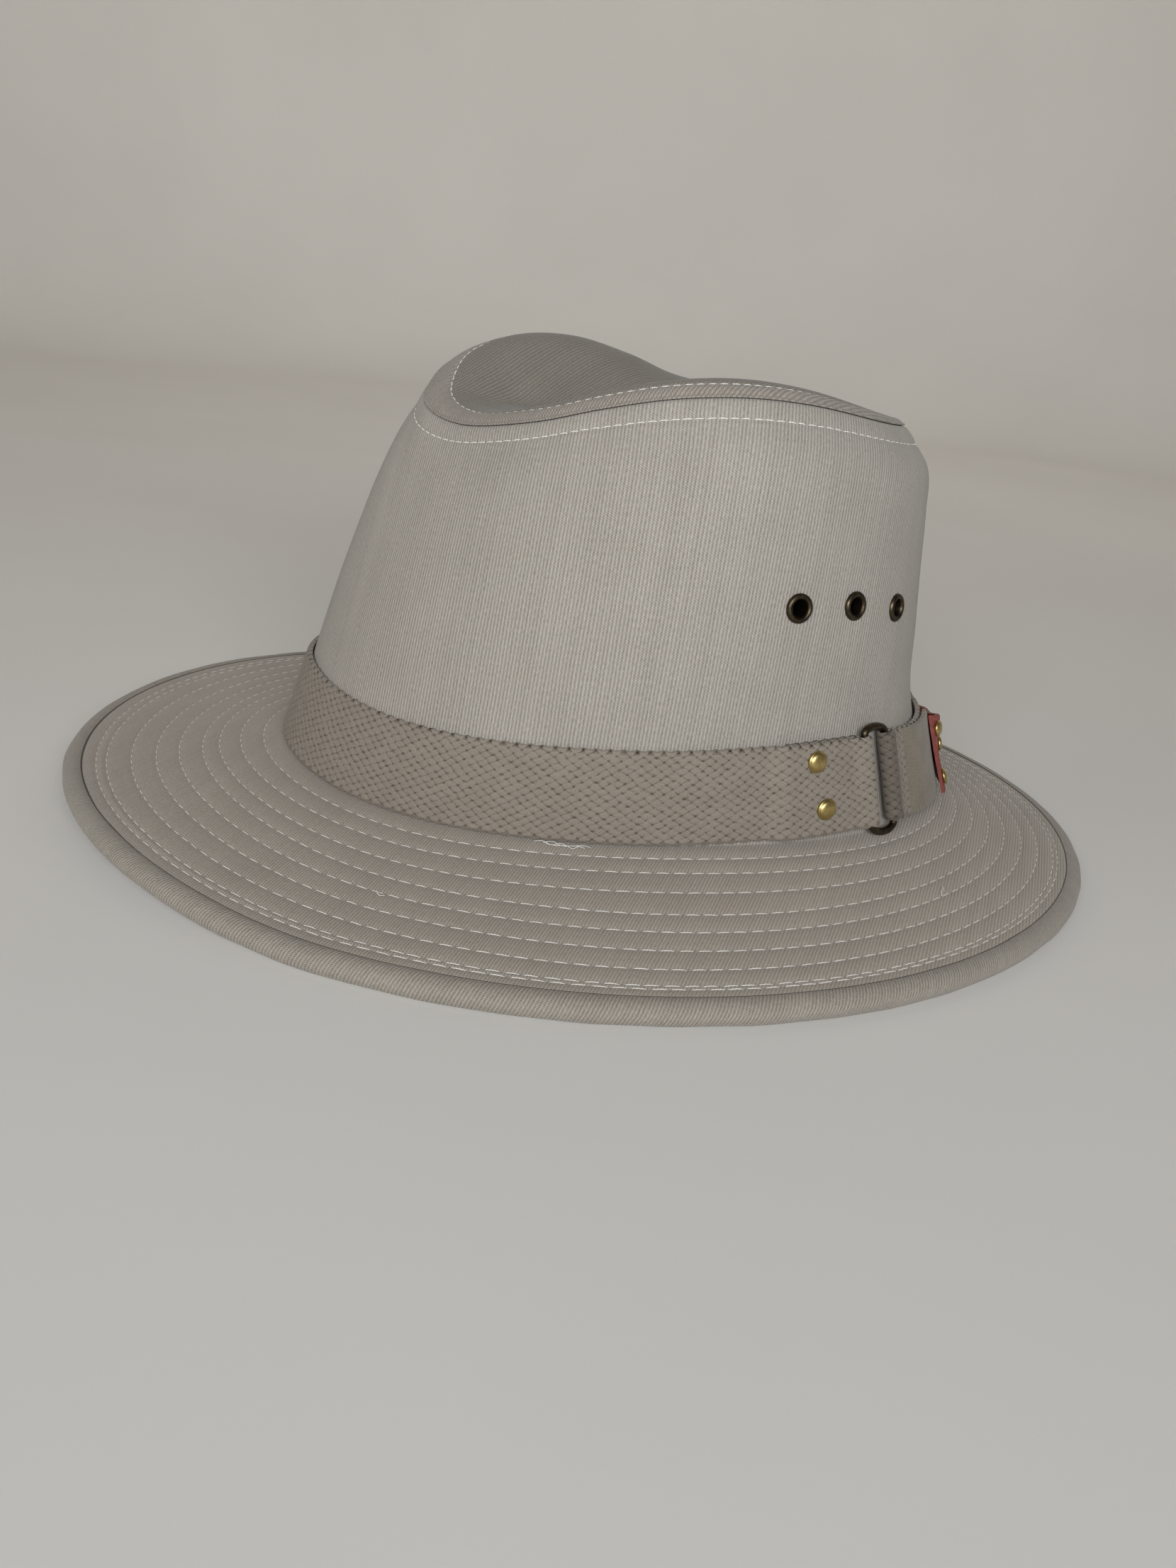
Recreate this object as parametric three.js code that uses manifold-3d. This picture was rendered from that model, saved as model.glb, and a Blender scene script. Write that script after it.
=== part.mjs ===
// Wide-brim sewn fedora resting on its brim, in millimetres.
// +Z is up, the front of the hat faces -Y and the wearer's left is +X.
import * as THREE from "three";
import Module from "manifold-3d";

const wasm = await Module();
wasm.setup();

// Main sizes
const GAP = 0.3;
const COLUMNS = 60;
const HEAD_HALF_WIDTH = 83;
const HEAD_HALF_LENGTH = 114;
const HEAD_MIDDLE = 9;
const JOIN_HEIGHT = 16.5;
const JOIN_SWAY = 4.8;
const WALL_FOOT = 3;
const WALL_THICK = 1.8;
const WALL_ROWS = 15;
const WALL_CROWDING = 1.25;
const TIP_THICK = 1.6;
const TIP_EDGE_ROWS = 3;
const TIP_DISH_ROWS = 5;

// How far the wall swells outward on its way up; part is 0 at the foot and 1 at the top
const SWELL = [
  { part: 0, front: 0, side: 0, back: 0 },
  { part: 0.15, front: 1.5, side: 4, back: -2 },
  { part: 0.33, front: 3.2, side: 6.5, back: -2.6 },
  { part: 0.5, front: 4.5, side: 8, back: 0.7 },
  { part: 0.65, front: 5, side: 8.5, back: 3.5 },
  { part: 0.8, front: 5, side: 8, back: 6.4 },
  { part: 0.92, front: 3.5, side: 5.5, back: 7.5 },
  { part: 1, front: 0, side: 0, back: 0 },
];

// Top seam of the crown, one row per station round the hat.
// turn: degrees from the front towards the wearer's left; rise: above the usual height of the brim join.
const SEAM = [
  { turn: -180, x: 0, y: 91.5, rise: 121.5 },
  { turn: -153, x: -30, y: 79, rise: 120.5 },
  { turn: -127, x: -50, y: 56, rise: 120 },
  { turn: -107, x: -58, y: 36, rise: 121 },
  { turn: -92, x: -58, y: 20, rise: 123 },
  { turn: -76, x: -55, y: 4, rise: 128 },
  { turn: -57, x: -50, y: -18, rise: 132.5 },
  { turn: -37, x: -39, y: -40, rise: 131.5 },
  { turn: -19, x: -22, y: -58, rise: 124.5 },
  { turn: 0, x: 3, y: -63, rise: 114 },
  { turn: 24, x: 24, y: -50, rise: 110 },
  { turn: 45, x: 42, y: -28.5, rise: 114.5 },
  { turn: 64, x: 52.5, y: -9, rise: 121 },
  { turn: 83, x: 58, y: 10, rise: 126 },
  { turn: 101, x: 59, y: 30, rise: 128.5 },
  { turn: 124, x: 53, y: 51, rise: 128 },
  { turn: 153, x: 33, y: 77.5, rise: 124 },
];

// The tip rolls up from the seam to a ridge and dips to a crease along the middle
const RIDGE_INSET = 8;
const RIDGE_LIMIT = 0.6;
const RIDGE_RISE = { front: 3, side: 4, back: 2 };
const CREASE = { x: 0, middle: 15, halfLength: 45, frontRise: 114, backRise: 116 };

// Brim and its padded edge
const BRIM_THICK = 2.6;
const BRIM_ROWS = 4;
const BRIM_WIDTH = { front: 66.5, side: 71, back: 48.5 };
const BRIM_DROP = 13;
const FRONT_LIFT = 5.2;
const LIFT_START = 0.45;
const ROLL_RADIUS = 3.9;
const ROLL_SIDES = 12;
const ROLL_SLOT_DEPTH = 2.6;

// Webbing band and its oval ring
const WEB_THICK = 2;
const WEB_HEIGHT = 29.6;
const WEB_LIFT = 0.8;
const RING_LIFT = { rise: 2.8, frontReach: 90, backReach: 45 };
const RING_SKEW = 0.1;
const WEB_STEP = 7;
const WEB_ROWS = 4;
const WIRE_RADIUS = 1.2;
const WIRE_SIDES = 10;
const RING = { turn: 135.8, barSpacing: 11, barHalf: 15.1, topRise: 2.2, bottomRise: 2.9 };
const RING_STEPS = { arch: 10, bar: 4 };
const FOLD_SIDES = 8;
const RETURN_LENGTH = 32;
const TAIL_LENGTH = 46;
const STEP_LENGTH = 8;

// Leather patch at the back
const PATCH = { halfWidth: 22, height: 28.6, low: 0.6, thick: 1.6, columns: 24, rows: 10 };
const PATCH_CURL = { top: 0.1, bottom: 1.1 };
const PATCH_BOW = { reach: 15, start: 0.45, top: 2.3, bottom: 0.2 };
const PATCH_STEP = { start: -6, length: 8 };
const PATCH_DIP = 4;

// Domed rivets: along is measured from the ring towards the front, or from the back seam to the left
const RIVET_SIDES = 20;
const RIVET_DOME = [
  { reach: 0.9, rise: 0 },
  { reach: 1, rise: 0.35 },
  { reach: 0.88, rise: 0.7 },
  { reach: 0.55, rise: 0.95 },
];
const BAND_RIVET = { radius: 3.4, height: 1.9 };
const BAND_RIVETS = [
  { name: "band_rivet_upper", along: 28.5, up: 24.3 },
  { name: "band_rivet_lower", along: 25.3, up: 9 },
];
const PATCH_RIVET = { radius: 2.75, height: 1.2 };
const PATCH_RIVETS = [
  { name: "top", along: 18.2, up: 23.8 },
  { name: "middle", along: 13, up: 16.6 },
  { name: "bottom", along: 19, up: 5.6 },
];

// Vent eyelets on each side
const EYELET = { flange: 4.4, hole: 2.6, barrel: 3, bore: 3.3, height: 1, washer: 0.6, sides: 16 };
const EYELET_ROLL = { rise: 0.7, outside: 0.3, inside: 0.2 };
const EYELETS = [
  { turn: 116, up: 73 },
  { turn: 131, up: 73.9 },
  { turn: 146, up: 72.3 },
];

const UP = new THREE.Vector3(0, 0, 1);
const TURN = Math.PI / 180;

// Small steps for measuring the slope of the wall, in degrees round it and in parts of its height
const SLOPE_TURN = 0.5;
const SLOPE_PART = 0.01;

const smooth = (t) => {
  const held = Math.min(1, Math.max(0, t));
  return held * held * (3 - 2 * held);
};

// Blends a front, a side and a back value round the hat
function around(turn, { front, side, back }) {
  const c = Math.cos(turn * TURN);
  return side + (front - back) / 2 * c + ((front + back) / 2 - side) * c * c;
}

function ovalPoint(turn, outset, z) {
  const sin = Math.sin(turn * TURN);
  const cos = Math.cos(turn * TURN);
  const normal = new THREE.Vector3(sin / HEAD_HALF_WIDTH, -cos / HEAD_HALF_LENGTH, 0).normalize();
  const point = new THREE.Vector3(HEAD_HALF_WIDTH * sin, HEAD_MIDDLE - HEAD_HALF_LENGTH * cos, z);
  return point.addScaledVector(normal, outset);
}

// Smooth curve through the rows of a table: reads one column where another has the value at
function throughRows(rows, column, at, read) {
  const last = rows.length - 1;
  let k = 0;
  while (k < last - 1 && rows[k + 1][column] <= at) k += 1;
  const before = rows[Math.max(0, k - 1)];
  const start = rows[k];
  const end = rows[k + 1];
  const after = rows[Math.min(last, k + 2)];
  const span = end[column] - start[column];
  const t = (at - start[column]) / span;
  const startSlope = (end[read] - before[read]) / (end[column] - before[column]) * span;
  const endSlope = (after[read] - start[read]) / (after[column] - start[column]) * span;
  const rest = end[read] - start[read];
  return start[read] + startSlope * t + (3 * rest - 2 * startSlope - endSlope) * t ** 2
    + (startSlope + endSlope - 2 * rest) * t ** 3;
}

// The seam rows with a few more on each end, so that the curve closes smoothly
const turned = (row, by) => ({ ...row, turn: row.turn + by });
const SEAM_LOOP = [turned(SEAM.at(-1), -360), ...SEAM, turned(SEAM[0], 360), turned(SEAM[1], 360)];

function seamPoint(turn) {
  const wrapped = THREE.MathUtils.euclideanModulo(turn + 180, 360) - 180;
  const read = (name) => throughRows(SEAM_LOOP, "turn", wrapped, name);
  return new THREE.Vector3(read("x"), read("y"), JOIN_HEIGHT + read("rise"));
}

// Height of the brim join: on each side it dips towards the front and rises a little towards the back
function joinHeight(turn) {
  const cos = Math.cos(turn * TURN);
  return JOIN_HEIGHT - JOIN_SWAY * cos * (1 + cos) * Math.sin(turn * TURN) ** 2;
}

function wallFoot(turn) {
  return ovalPoint(turn, 0, joinHeight(turn) - WALL_FOOT);
}

function wallHead(turn) {
  return seamPoint(turn).addScaledVector(UP, -TIP_THICK - GAP);
}

// Outside of the crown wall: part is 0 at the foot and 1 at the top
function wallPoint(turn, part) {
  const straight = wallFoot(turn).lerp(wallHead(turn), part);
  const read = (name) => throughRows(SWELL, "part", part, name);
  const swell = around(turn, { front: read("front"), side: read("side"), back: read("back") });
  const outward = ovalPoint(turn, 1, 0).sub(ovalPoint(turn, 0, 0));
  return straight.addScaledVector(outward, swell);
}

function wallNormal(turn, part) {
  const across = wallPoint(turn + SLOPE_TURN, part).sub(wallPoint(turn - SLOPE_TURN, part));
  const low = Math.max(0, part - SLOPE_PART);
  const high = Math.min(1, part + SLOPE_PART);
  const along = wallPoint(turn, high).sub(wallPoint(turn, low));
  return across.cross(along).normalize();
}

// A place on the outside of the wall: up is measured along the wall from the brim join
function onWall(turn, up, out) {
  const part = (up + WALL_FOOT) / wallFoot(turn).distanceTo(wallHead(turn));
  return wallPoint(turn, part).addScaledVector(wallNormal(turn, part), out);
}

// Distance walked round the foot of the wall, looked up both ways
const WALK = [0];
for (let turn = 1; turn <= 360; turn += 1) {
  WALK.push(WALK[turn - 1] + ovalPoint(turn, 0, 0).distanceTo(ovalPoint(turn - 1, 0, 0)));
}
const ROUND = WALK[360];

function walkAt(turn) {
  const whole = Math.floor(turn);
  return WALK[whole] + (turn - whole) * (WALK[whole + 1] - WALK[whole]);
}

function turnAt(walk) {
  const wrapped = THREE.MathUtils.euclideanModulo(walk, ROUND);
  let turn = 0;
  while (WALK[turn + 1] < wrapped) turn += 1;
  return turn + (wrapped - WALK[turn]) / (WALK[turn + 1] - WALK[turn]);
}

// Makes a closed solid out of triangles given as corner points
function solidOf(triangles) {
  const index = new Map();
  const corners = [];
  const faces = [];
  for (const triangle of triangles) {
    const ids = triangle.map((point) => {
      const key = point.toArray().map((value) => Math.round(value * 1e4)).join(",");
      if (!index.has(key)) {
        index.set(key, corners.length / 3);
        corners.push(...point.toArray());
      }
      return index.get(key);
    });
    if (new Set(ids).size === 3) faces.push(...ids);
  }
  const mesh = new wasm.Mesh({
    numProp: 3,
    vertProperties: new Float32Array(corners),
    triVerts: new Uint32Array(faces),
  });
  return new wasm.Manifold(mesh);
}

function volumeOf(triangles) {
  return triangles.reduce((sum, [a, b, c]) => sum + a.dot(b.clone().cross(c)), 0) / 6;
}

function outwardSolid(triangles) {
  const facing = volumeOf(triangles) > 0;
  return solidOf(facing ? triangles : triangles.map(([a, b, c]) => [a, c, b]));
}

function quad(a, b, c, d) {
  return [[a, b, c], [a, c, d]];
}

// A sheet between an outer and an inner grid of points; wraps joins its last column to its first
function sheetSolid(outer, inner, wraps) {
  const columns = outer.length;
  const rows = outer[0].length - 1;
  const spans = wraps ? columns : columns - 1;
  const triangles = [];
  for (let i = 0; i < spans; i += 1) {
    const n = (i + 1) % columns;
    for (let j = 0; j < rows; j += 1) {
      triangles.push(...quad(outer[i][j], outer[n][j], outer[n][j + 1], outer[i][j + 1]));
      triangles.push(...quad(inner[i][j + 1], inner[n][j + 1], inner[n][j], inner[i][j]));
    }
    triangles.push(...quad(inner[i][0], inner[n][0], outer[n][0], outer[i][0]));
    triangles.push(...quad(outer[i][rows], outer[n][rows], inner[n][rows], inner[i][rows]));
  }
  if (!wraps) {
    const last = columns - 1;
    for (let j = 0; j < rows; j += 1) {
      triangles.push(...quad(outer[0][j], outer[0][j + 1], inner[0][j + 1], inner[0][j]));
      triangles.push(...quad(inner[last][j], inner[last][j + 1], outer[last][j + 1], outer[last][j]));
    }
  }
  return outwardSolid(triangles);
}

// A closed loop of cross-sections
function loopSolid(sections) {
  const triangles = [];
  sections.forEach((section, i) => {
    const next = sections[(i + 1) % sections.length];
    section.forEach((point, j) => {
      const k = (j + 1) % section.length;
      triangles.push(...quad(point, next[j], next[k], section[k]));
    });
  });
  return outwardSolid(triangles);
}

// A turned body: the profile lists radius and height from the axis, the body stands on a wall point
function turnedSolid(profile, sides, place, normal) {
  const turnTo = new THREE.Quaternion().setFromUnitVectors(UP, normal);
  const sections = Array.from({ length: sides }, (_, i) => {
    const angle = 2 * Math.PI * i / sides;
    return profile.map(([radius, height]) => new THREE.Vector3(
      radius * Math.cos(angle), radius * Math.sin(angle), height,
    ).applyQuaternion(turnTo).add(place));
  });
  return loopSolid(sections);
}

function grid(columns, rows, point) {
  return Array.from({ length: columns }, (_, i) => Array.from({ length: rows + 1 }, (_, j) => point(i, j)));
}

const columnTurn = (i) => 360 * i / COLUMNS;

// Crown wall with its vent holes; its rows crowd towards the rounded top
function crownWall() {
  const partAt = (j) => 1 - (1 - j / WALL_ROWS) ** WALL_CROWDING;
  const outside = (i, j) => wallPoint(columnTurn(i), partAt(j));
  const inside = (i, j) => {
    const normal = wallNormal(columnTurn(i), partAt(j));
    return outside(i, j).addScaledVector(normal, -WALL_THICK);
  };
  let wall = sheetSolid(grid(COLUMNS, WALL_ROWS, outside), grid(COLUMNS, WALL_ROWS, inside), true);
  for (const { turn, up } of eyeletPlaces()) {
    const normal = onWall(turn, up, 1).sub(onWall(turn, up, 0)).normalize();
    const reach = WALL_THICK * 4;
    const plug = [[0, -reach], [EYELET.bore, -reach], [EYELET.bore, reach], [0, reach]];
    wall = wall.subtract(turnedSolid(plug, EYELET.sides, onWall(turn, up, 0), normal));
  }
  return wall;
}

// Crown tip: from the seam up to the ridge, then down to the crease
function tipPoint(turn, row) {
  const seam = seamPoint(turn);
  const cos = Math.cos(turn * TURN);
  const creaseRise = THREE.MathUtils.lerp(CREASE.backRise, CREASE.frontRise, (1 + cos) / 2);
  const creaseY = CREASE.middle - CREASE.halfLength * cos;
  const crease = new THREE.Vector3(CREASE.x, creaseY, JOIN_HEIGHT + creaseRise);
  const length = Math.hypot(crease.x - seam.x, crease.y - seam.y);
  const ridgePart = Math.min(RIDGE_LIMIT, RIDGE_INSET / length);
  const ridgeHeight = seam.z + around(turn, RIDGE_RISE);
  if (row >= TIP_DISH_ROWS) {
    const edge = (TIP_DISH_ROWS + TIP_EDGE_ROWS - row) / TIP_EDGE_ROWS;
    const point = seam.clone().lerp(crease, ridgePart * edge);
    point.z = seam.z + (ridgeHeight - seam.z) * Math.sin(Math.PI / 2 * edge);
    return point;
  }
  const dip = 1 - row / TIP_DISH_ROWS;
  const point = seam.clone().lerp(crease, ridgePart + (1 - ridgePart) * dip);
  point.z = ridgeHeight + (crease.z - ridgeHeight) * smooth(dip);
  return point;
}

function crownTip() {
  const rows = TIP_DISH_ROWS + TIP_EDGE_ROWS;
  const top = (i, j) => tipPoint(columnTurn(i), j);
  const under = (i, j) => top(i, j).addScaledVector(UP, -TIP_THICK);
  return sheetSolid(grid(COLUMNS, rows, top), grid(COLUMNS, rows, under), true);
}

// Middle of the brim's padded edge
function rimPoint(turn) {
  const cos = Math.cos(turn * TURN);
  const lift = FRONT_LIFT * smooth((cos - LIFT_START) / (1 - LIFT_START));
  return ovalPoint(turn, around(turn, BRIM_WIDTH), JOIN_HEIGHT - BRIM_DROP + lift);
}

function brim() {
  const reach = ROLL_RADIUS - ROLL_SLOT_DEPTH + 2 * GAP;
  const face = (depth) => grid(COLUMNS, BRIM_ROWS, (i, j) => {
    const turn = columnTurn(i);
    const start = onWall(turn, -depth, GAP);
    const end = rimPoint(turn).addScaledVector(UP, BRIM_THICK / 2 - depth);
    const inset = reach / start.distanceTo(end);
    return start.lerp(end, (1 - inset) * j / BRIM_ROWS);
  });
  return sheetSolid(face(0), face(BRIM_THICK), true);
}

// Padded roll: a round section with a slot for the brim, flattened where it lies on the floor
function brimBinding() {
  const slotHalf = BRIM_THICK / 2 + GAP;
  const mouth = Math.asin(slotHalf / ROLL_RADIUS);
  const sections = Array.from({ length: COLUMNS }, (_, i) => {
    const turn = columnTurn(i);
    const centre = rimPoint(turn);
    const inward = ovalPoint(turn, 0, joinHeight(turn)).sub(centre).normalize();
    const upward = UP.clone().addScaledVector(inward, -UP.dot(inward)).normalize();
    const at = (along, up) => centre.clone().addScaledVector(inward, along).addScaledVector(upward, up);
    const section = Array.from({ length: ROLL_SIDES + 1 }, (_, k) => {
      const angle = mouth + (2 * Math.PI - 2 * mouth) * k / ROLL_SIDES;
      return at(ROLL_RADIUS * Math.cos(angle), ROLL_RADIUS * Math.sin(angle));
    });
    const slotEnd = ROLL_RADIUS - ROLL_SLOT_DEPTH;
    section.push(at(slotEnd, -slotHalf), at(slotEnd, slotHalf));
    section.forEach((point) => { point.z = Math.max(0, point.z); });
    return section;
  });
  return loopSolid(sections);
}

// Middle line of the webbing as walk round the hat and distance off the wall
const INNER_OUT = GAP + WEB_THICK / 2;
const FOLD_RADIUS = WIRE_RADIUS + GAP + WEB_THICK / 2;
const OUTER_OUT = INNER_OUT + WEB_THICK + GAP;
const RING_WALK = walkAt(RING.turn);
const BAR_OUT = INNER_OUT + FOLD_RADIUS;

function foldPoints(bar, side) {
  return Array.from({ length: FOLD_SIDES + 1 }, (_, k) => {
    const angle = Math.PI * k / FOLD_SIDES;
    return { walk: bar + side * FOLD_RADIUS * Math.sin(angle), out: BAR_OUT - FOLD_RADIUS * Math.cos(angle) };
  });
}

function straightRun(from, to) {
  const steps = Math.ceil(Math.abs(to.walk - from.walk) / WEB_STEP);
  return Array.from({ length: steps }, (_, k) => ({
    walk: from.walk + (to.walk - from.walk) * k / steps,
    out: from.out + (to.out - from.out) * smooth(k / steps),
  }));
}

function webPath() {
  const frontBar = RING_WALK - RING.barSpacing / 2;
  const backBar = RING_WALK + RING.barSpacing / 2 - ROUND;
  const corners = [
    { walk: frontBar - RETURN_LENGTH, out: INNER_OUT },
    { walk: frontBar - STEP_LENGTH, out: INNER_OUT },
    ...foldPoints(frontBar, 1),
    { walk: frontBar - STEP_LENGTH, out: OUTER_OUT },
    { walk: frontBar - RETURN_LENGTH - GAP, out: OUTER_OUT },
    { walk: frontBar - RETURN_LENGTH - STEP_LENGTH, out: INNER_OUT },
    { walk: backBar + STEP_LENGTH, out: INNER_OUT },
    ...foldPoints(backBar, -1),
    { walk: backBar + STEP_LENGTH, out: OUTER_OUT },
    { walk: backBar + TAIL_LENGTH, out: OUTER_OUT },
  ];
  const path = corners.slice(0, -1).flatMap((corner, k) => straightRun(corner, corners[k + 1]));
  return [...path, corners[corners.length - 1]];
}

// How much a place on the webbing is under the pull of the ring: 1 at the ring, 0 away from it
function ringPull(walk) {
  const past = THREE.MathUtils.euclideanModulo(walk - RING_WALK + ROUND / 2, ROUND) - ROUND / 2;
  return 1 - smooth(past > 0 ? past / RING_LIFT.backReach : -past / RING_LIFT.frontReach);
}

// A place on the webbing: up is measured from its lower edge, which rides up towards the ring
function onWeb(walk, up, out) {
  const pull = ringPull(walk);
  const skew = RING_SKEW * (up - WEB_HEIGHT / 2) * pull;
  return onWall(turnAt(walk - skew), WEB_LIFT + RING_LIFT.rise * pull + up, out);
}

function hatBand() {
  const path = webPath();
  const side = (amount) => path.map((point, k) => {
    const before = path[Math.max(0, k - 1)];
    const after = path[Math.min(path.length - 1, k + 1)];
    const along = new THREE.Vector2(after.walk - before.walk, after.out - before.out).normalize();
    return { walk: point.walk - along.y * amount, out: point.out + along.x * amount };
  });
  const face = (amount) => side(amount).map(({ walk, out }) => (
    Array.from({ length: WEB_ROWS + 1 }, (_, j) => onWeb(walk, WEB_HEIGHT * j / WEB_ROWS, out))
  ));
  return sheetSolid(face(WEB_THICK / 2), face(-WEB_THICK / 2), false);
}

// Oval wire ring through both folds of the webbing
function bandRing() {
  const half = RING.barSpacing / 2;
  const middle = WEB_HEIGHT / 2;
  const centres = [];
  for (const [end, archRise] of [[1, RING.topRise], [-1, RING.bottomRise]]) {
    for (let k = 0; k < RING_STEPS.arch; k += 1) {
      const angle = Math.PI * k / RING_STEPS.arch;
      const up = end * (RING.barHalf + archRise * Math.sin(angle));
      centres.push({ walk: end * half * Math.cos(angle), up });
    }
    for (let k = 0; k < RING_STEPS.bar; k += 1) {
      centres.push({ walk: -end * half, up: end * RING.barHalf * (1 - 2 * k / RING_STEPS.bar) });
    }
  }
  const place = ({ walk, up }) => onWeb(RING_WALK + walk, middle + up, BAR_OUT);
  const points = centres.map(place);
  const normal = onWeb(RING_WALK, middle, 1).sub(onWeb(RING_WALK, middle, 0)).normalize();
  const sections = points.map((point, i) => {
    const before = points[(i + points.length - 1) % points.length];
    const after = points[(i + 1) % points.length];
    const along = after.clone().sub(before).normalize();
    const sideways = along.clone().cross(normal).normalize();
    return Array.from({ length: WIRE_SIDES }, (_, k) => {
      const angle = 2 * Math.PI * k / WIRE_SIDES;
      return point.clone()
        .addScaledVector(sideways, WIRE_RADIUS * Math.cos(angle))
        .addScaledVector(normal, WIRE_RADIUS * Math.sin(angle));
    });
  });
  return loopSolid(sections);
}

// Stiff leather patch over the end of the webbing; its ends stand off, most at the bottom,
// it bows out a little way in from each end, most at the top, and its top edge dips in the middle
const BACK_WALK = walkAt(180);

function patchPoint(along, up, extra) {
  const overTail = smooth((along - PATCH_STEP.start) / PATCH_STEP.length);
  const upPart = (up - PATCH.low) / PATCH.height;
  const endPart = (along / PATCH.halfWidth) ** 2;
  const curl = THREE.MathUtils.lerp(PATCH_CURL.bottom, PATCH_CURL.top, upPart) * endPart;
  const dip = PATCH_DIP * upPart ** 2 * (1 - endPart);
  const flare = smooth((upPart - PATCH_BOW.start) / (1 - PATCH_BOW.start));
  const fromEnd = Math.min(1, (PATCH.halfWidth - Math.abs(along)) / PATCH_BOW.reach);
  const bow = THREE.MathUtils.lerp(PATCH_BOW.bottom, PATCH_BOW.top, flare) * Math.sin(Math.PI * fromEnd) ** 2;
  const seat = GAP + WEB_THICK + GAP + overTail * (WEB_THICK + GAP);
  return onWall(turnAt(BACK_WALK - along), up - dip, seat + curl + bow + extra);
}

function leatherPatch() {
  const alongAt = (i) => PATCH.halfWidth * (1 - 2 * i / PATCH.columns);
  const face = (extra) => grid(PATCH.columns + 1, PATCH.rows, (i, j) => (
    patchPoint(alongAt(i), PATCH.low + PATCH.height * j / PATCH.rows, extra)
  ));
  return sheetSolid(face(PATCH.thick), face(0), false);
}

function rivet({ radius, height }, place, normal) {
  const dome = RIVET_DOME.map(({ reach, rise }) => [radius * reach, height * rise]);
  const profile = [[0, 0], ...dome, [0, height]];
  return turnedSolid(profile, RIVET_SIDES, place, normal);
}

function bandRivet({ along, up }) {
  const seat = OUTER_OUT + WEB_THICK / 2 + GAP;
  const place = (out) => onWeb(RING_WALK - along, up, out);
  return rivet(BAND_RIVET, place(seat), place(1).sub(place(0)).normalize());
}

function patchRivet({ along, up }, side) {
  const seat = (more, higher) => patchPoint(side * along + more, up + higher, PATCH.thick + GAP);
  const across = seat(-1, 0).sub(seat(1, 0));
  const normal = across.cross(seat(0, 1).sub(seat(0, -1))).normalize();
  return rivet(PATCH_RIVET, seat(0, 0), normal);
}

function eyeletPlaces() {
  return [1, -1].flatMap((side) => EYELETS.map(({ turn, up }, k) => ({
    name: `eyelet_${side > 0 ? "left" : "right"}_${k + 1}`, turn: side * turn, up,
  })));
}

// Rolled flange outside, barrel through the wall and a washer inside
function eyelet({ turn, up }) {
  const { flange, hole, barrel, height, washer, sides } = EYELET;
  const inside = -WALL_THICK - GAP;
  const end = inside - washer;
  const roll = GAP + height * EYELET_ROLL.rise;
  const normal = onWall(turn, up, 1).sub(onWall(turn, up, 0)).normalize();
  const profile = [
    [hole, end], [flange, end], [flange, inside], [barrel, inside], [barrel, GAP], [flange, GAP],
    [flange - EYELET_ROLL.outside, roll], [(flange + hole) / 2, GAP + height],
    [hole + EYELET_ROLL.inside, roll],
  ];
  return turnedSolid(profile, sides, onWall(turn, up, 0), normal);
}

// Materials
const cloth = (color) => ({ color, roughness: 0.95, metalness: 0 });
const TWILL = cloth(0xa69c90);
const ROLL = cloth(0xb3a592);
const WEBBING = cloth(0x87796a);
const LEATHER = { color: 0x8f4036, roughness: 0.6, metalness: 0 };
const BRASS = { color: 0xc2a25a, roughness: 0.3, metalness: 1 };
const DARK_BRASS = { color: 0x4a4334, roughness: 0.4, metalness: 1 };

const hat = new THREE.Group();
hat.name = "wide_brim_fedora";

function add(name, solid, finish) {
  const { vertProperties, triVerts, numProp } = solid.getMesh();
  const corners = new Float32Array(triVerts.length * 3);
  triVerts.forEach((vertex, k) => {
    corners.set(vertProperties.subarray(vertex * numProp, vertex * numProp + 3), k * 3);
  });
  const geometry = new THREE.BufferGeometry();
  geometry.setAttribute("position", new THREE.BufferAttribute(corners, 3));
  geometry.computeVertexNormals();
  const mesh = new THREE.Mesh(geometry, new THREE.MeshStandardMaterial(finish));
  mesh.name = name;
  hat.add(mesh);
}

add("crown_wall", crownWall(), TWILL);
add("crown_tip", crownTip(), TWILL);
add("brim", brim(), TWILL);
add("brim_binding", brimBinding(), ROLL);
add("hat_band", hatBand(), WEBBING);
add("band_ring", bandRing(), DARK_BRASS);
add("leather_patch", leatherPatch(), LEATHER);
BAND_RIVETS.forEach((row) => add(row.name, bandRivet(row), BRASS));
for (const [sideName, side] of [["left", 1], ["right", -1]]) {
  PATCH_RIVETS.forEach((row) => add(`patch_rivet_${sideName}_${row.name}`, patchRivet(row, side), BRASS));
}
eyeletPlaces().forEach((place) => add(place.name, eyelet(place), DARK_BRASS));

export default hat;
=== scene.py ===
import math

import bmesh
import bpy
import numpy as np
from mathutils import Matrix


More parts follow.
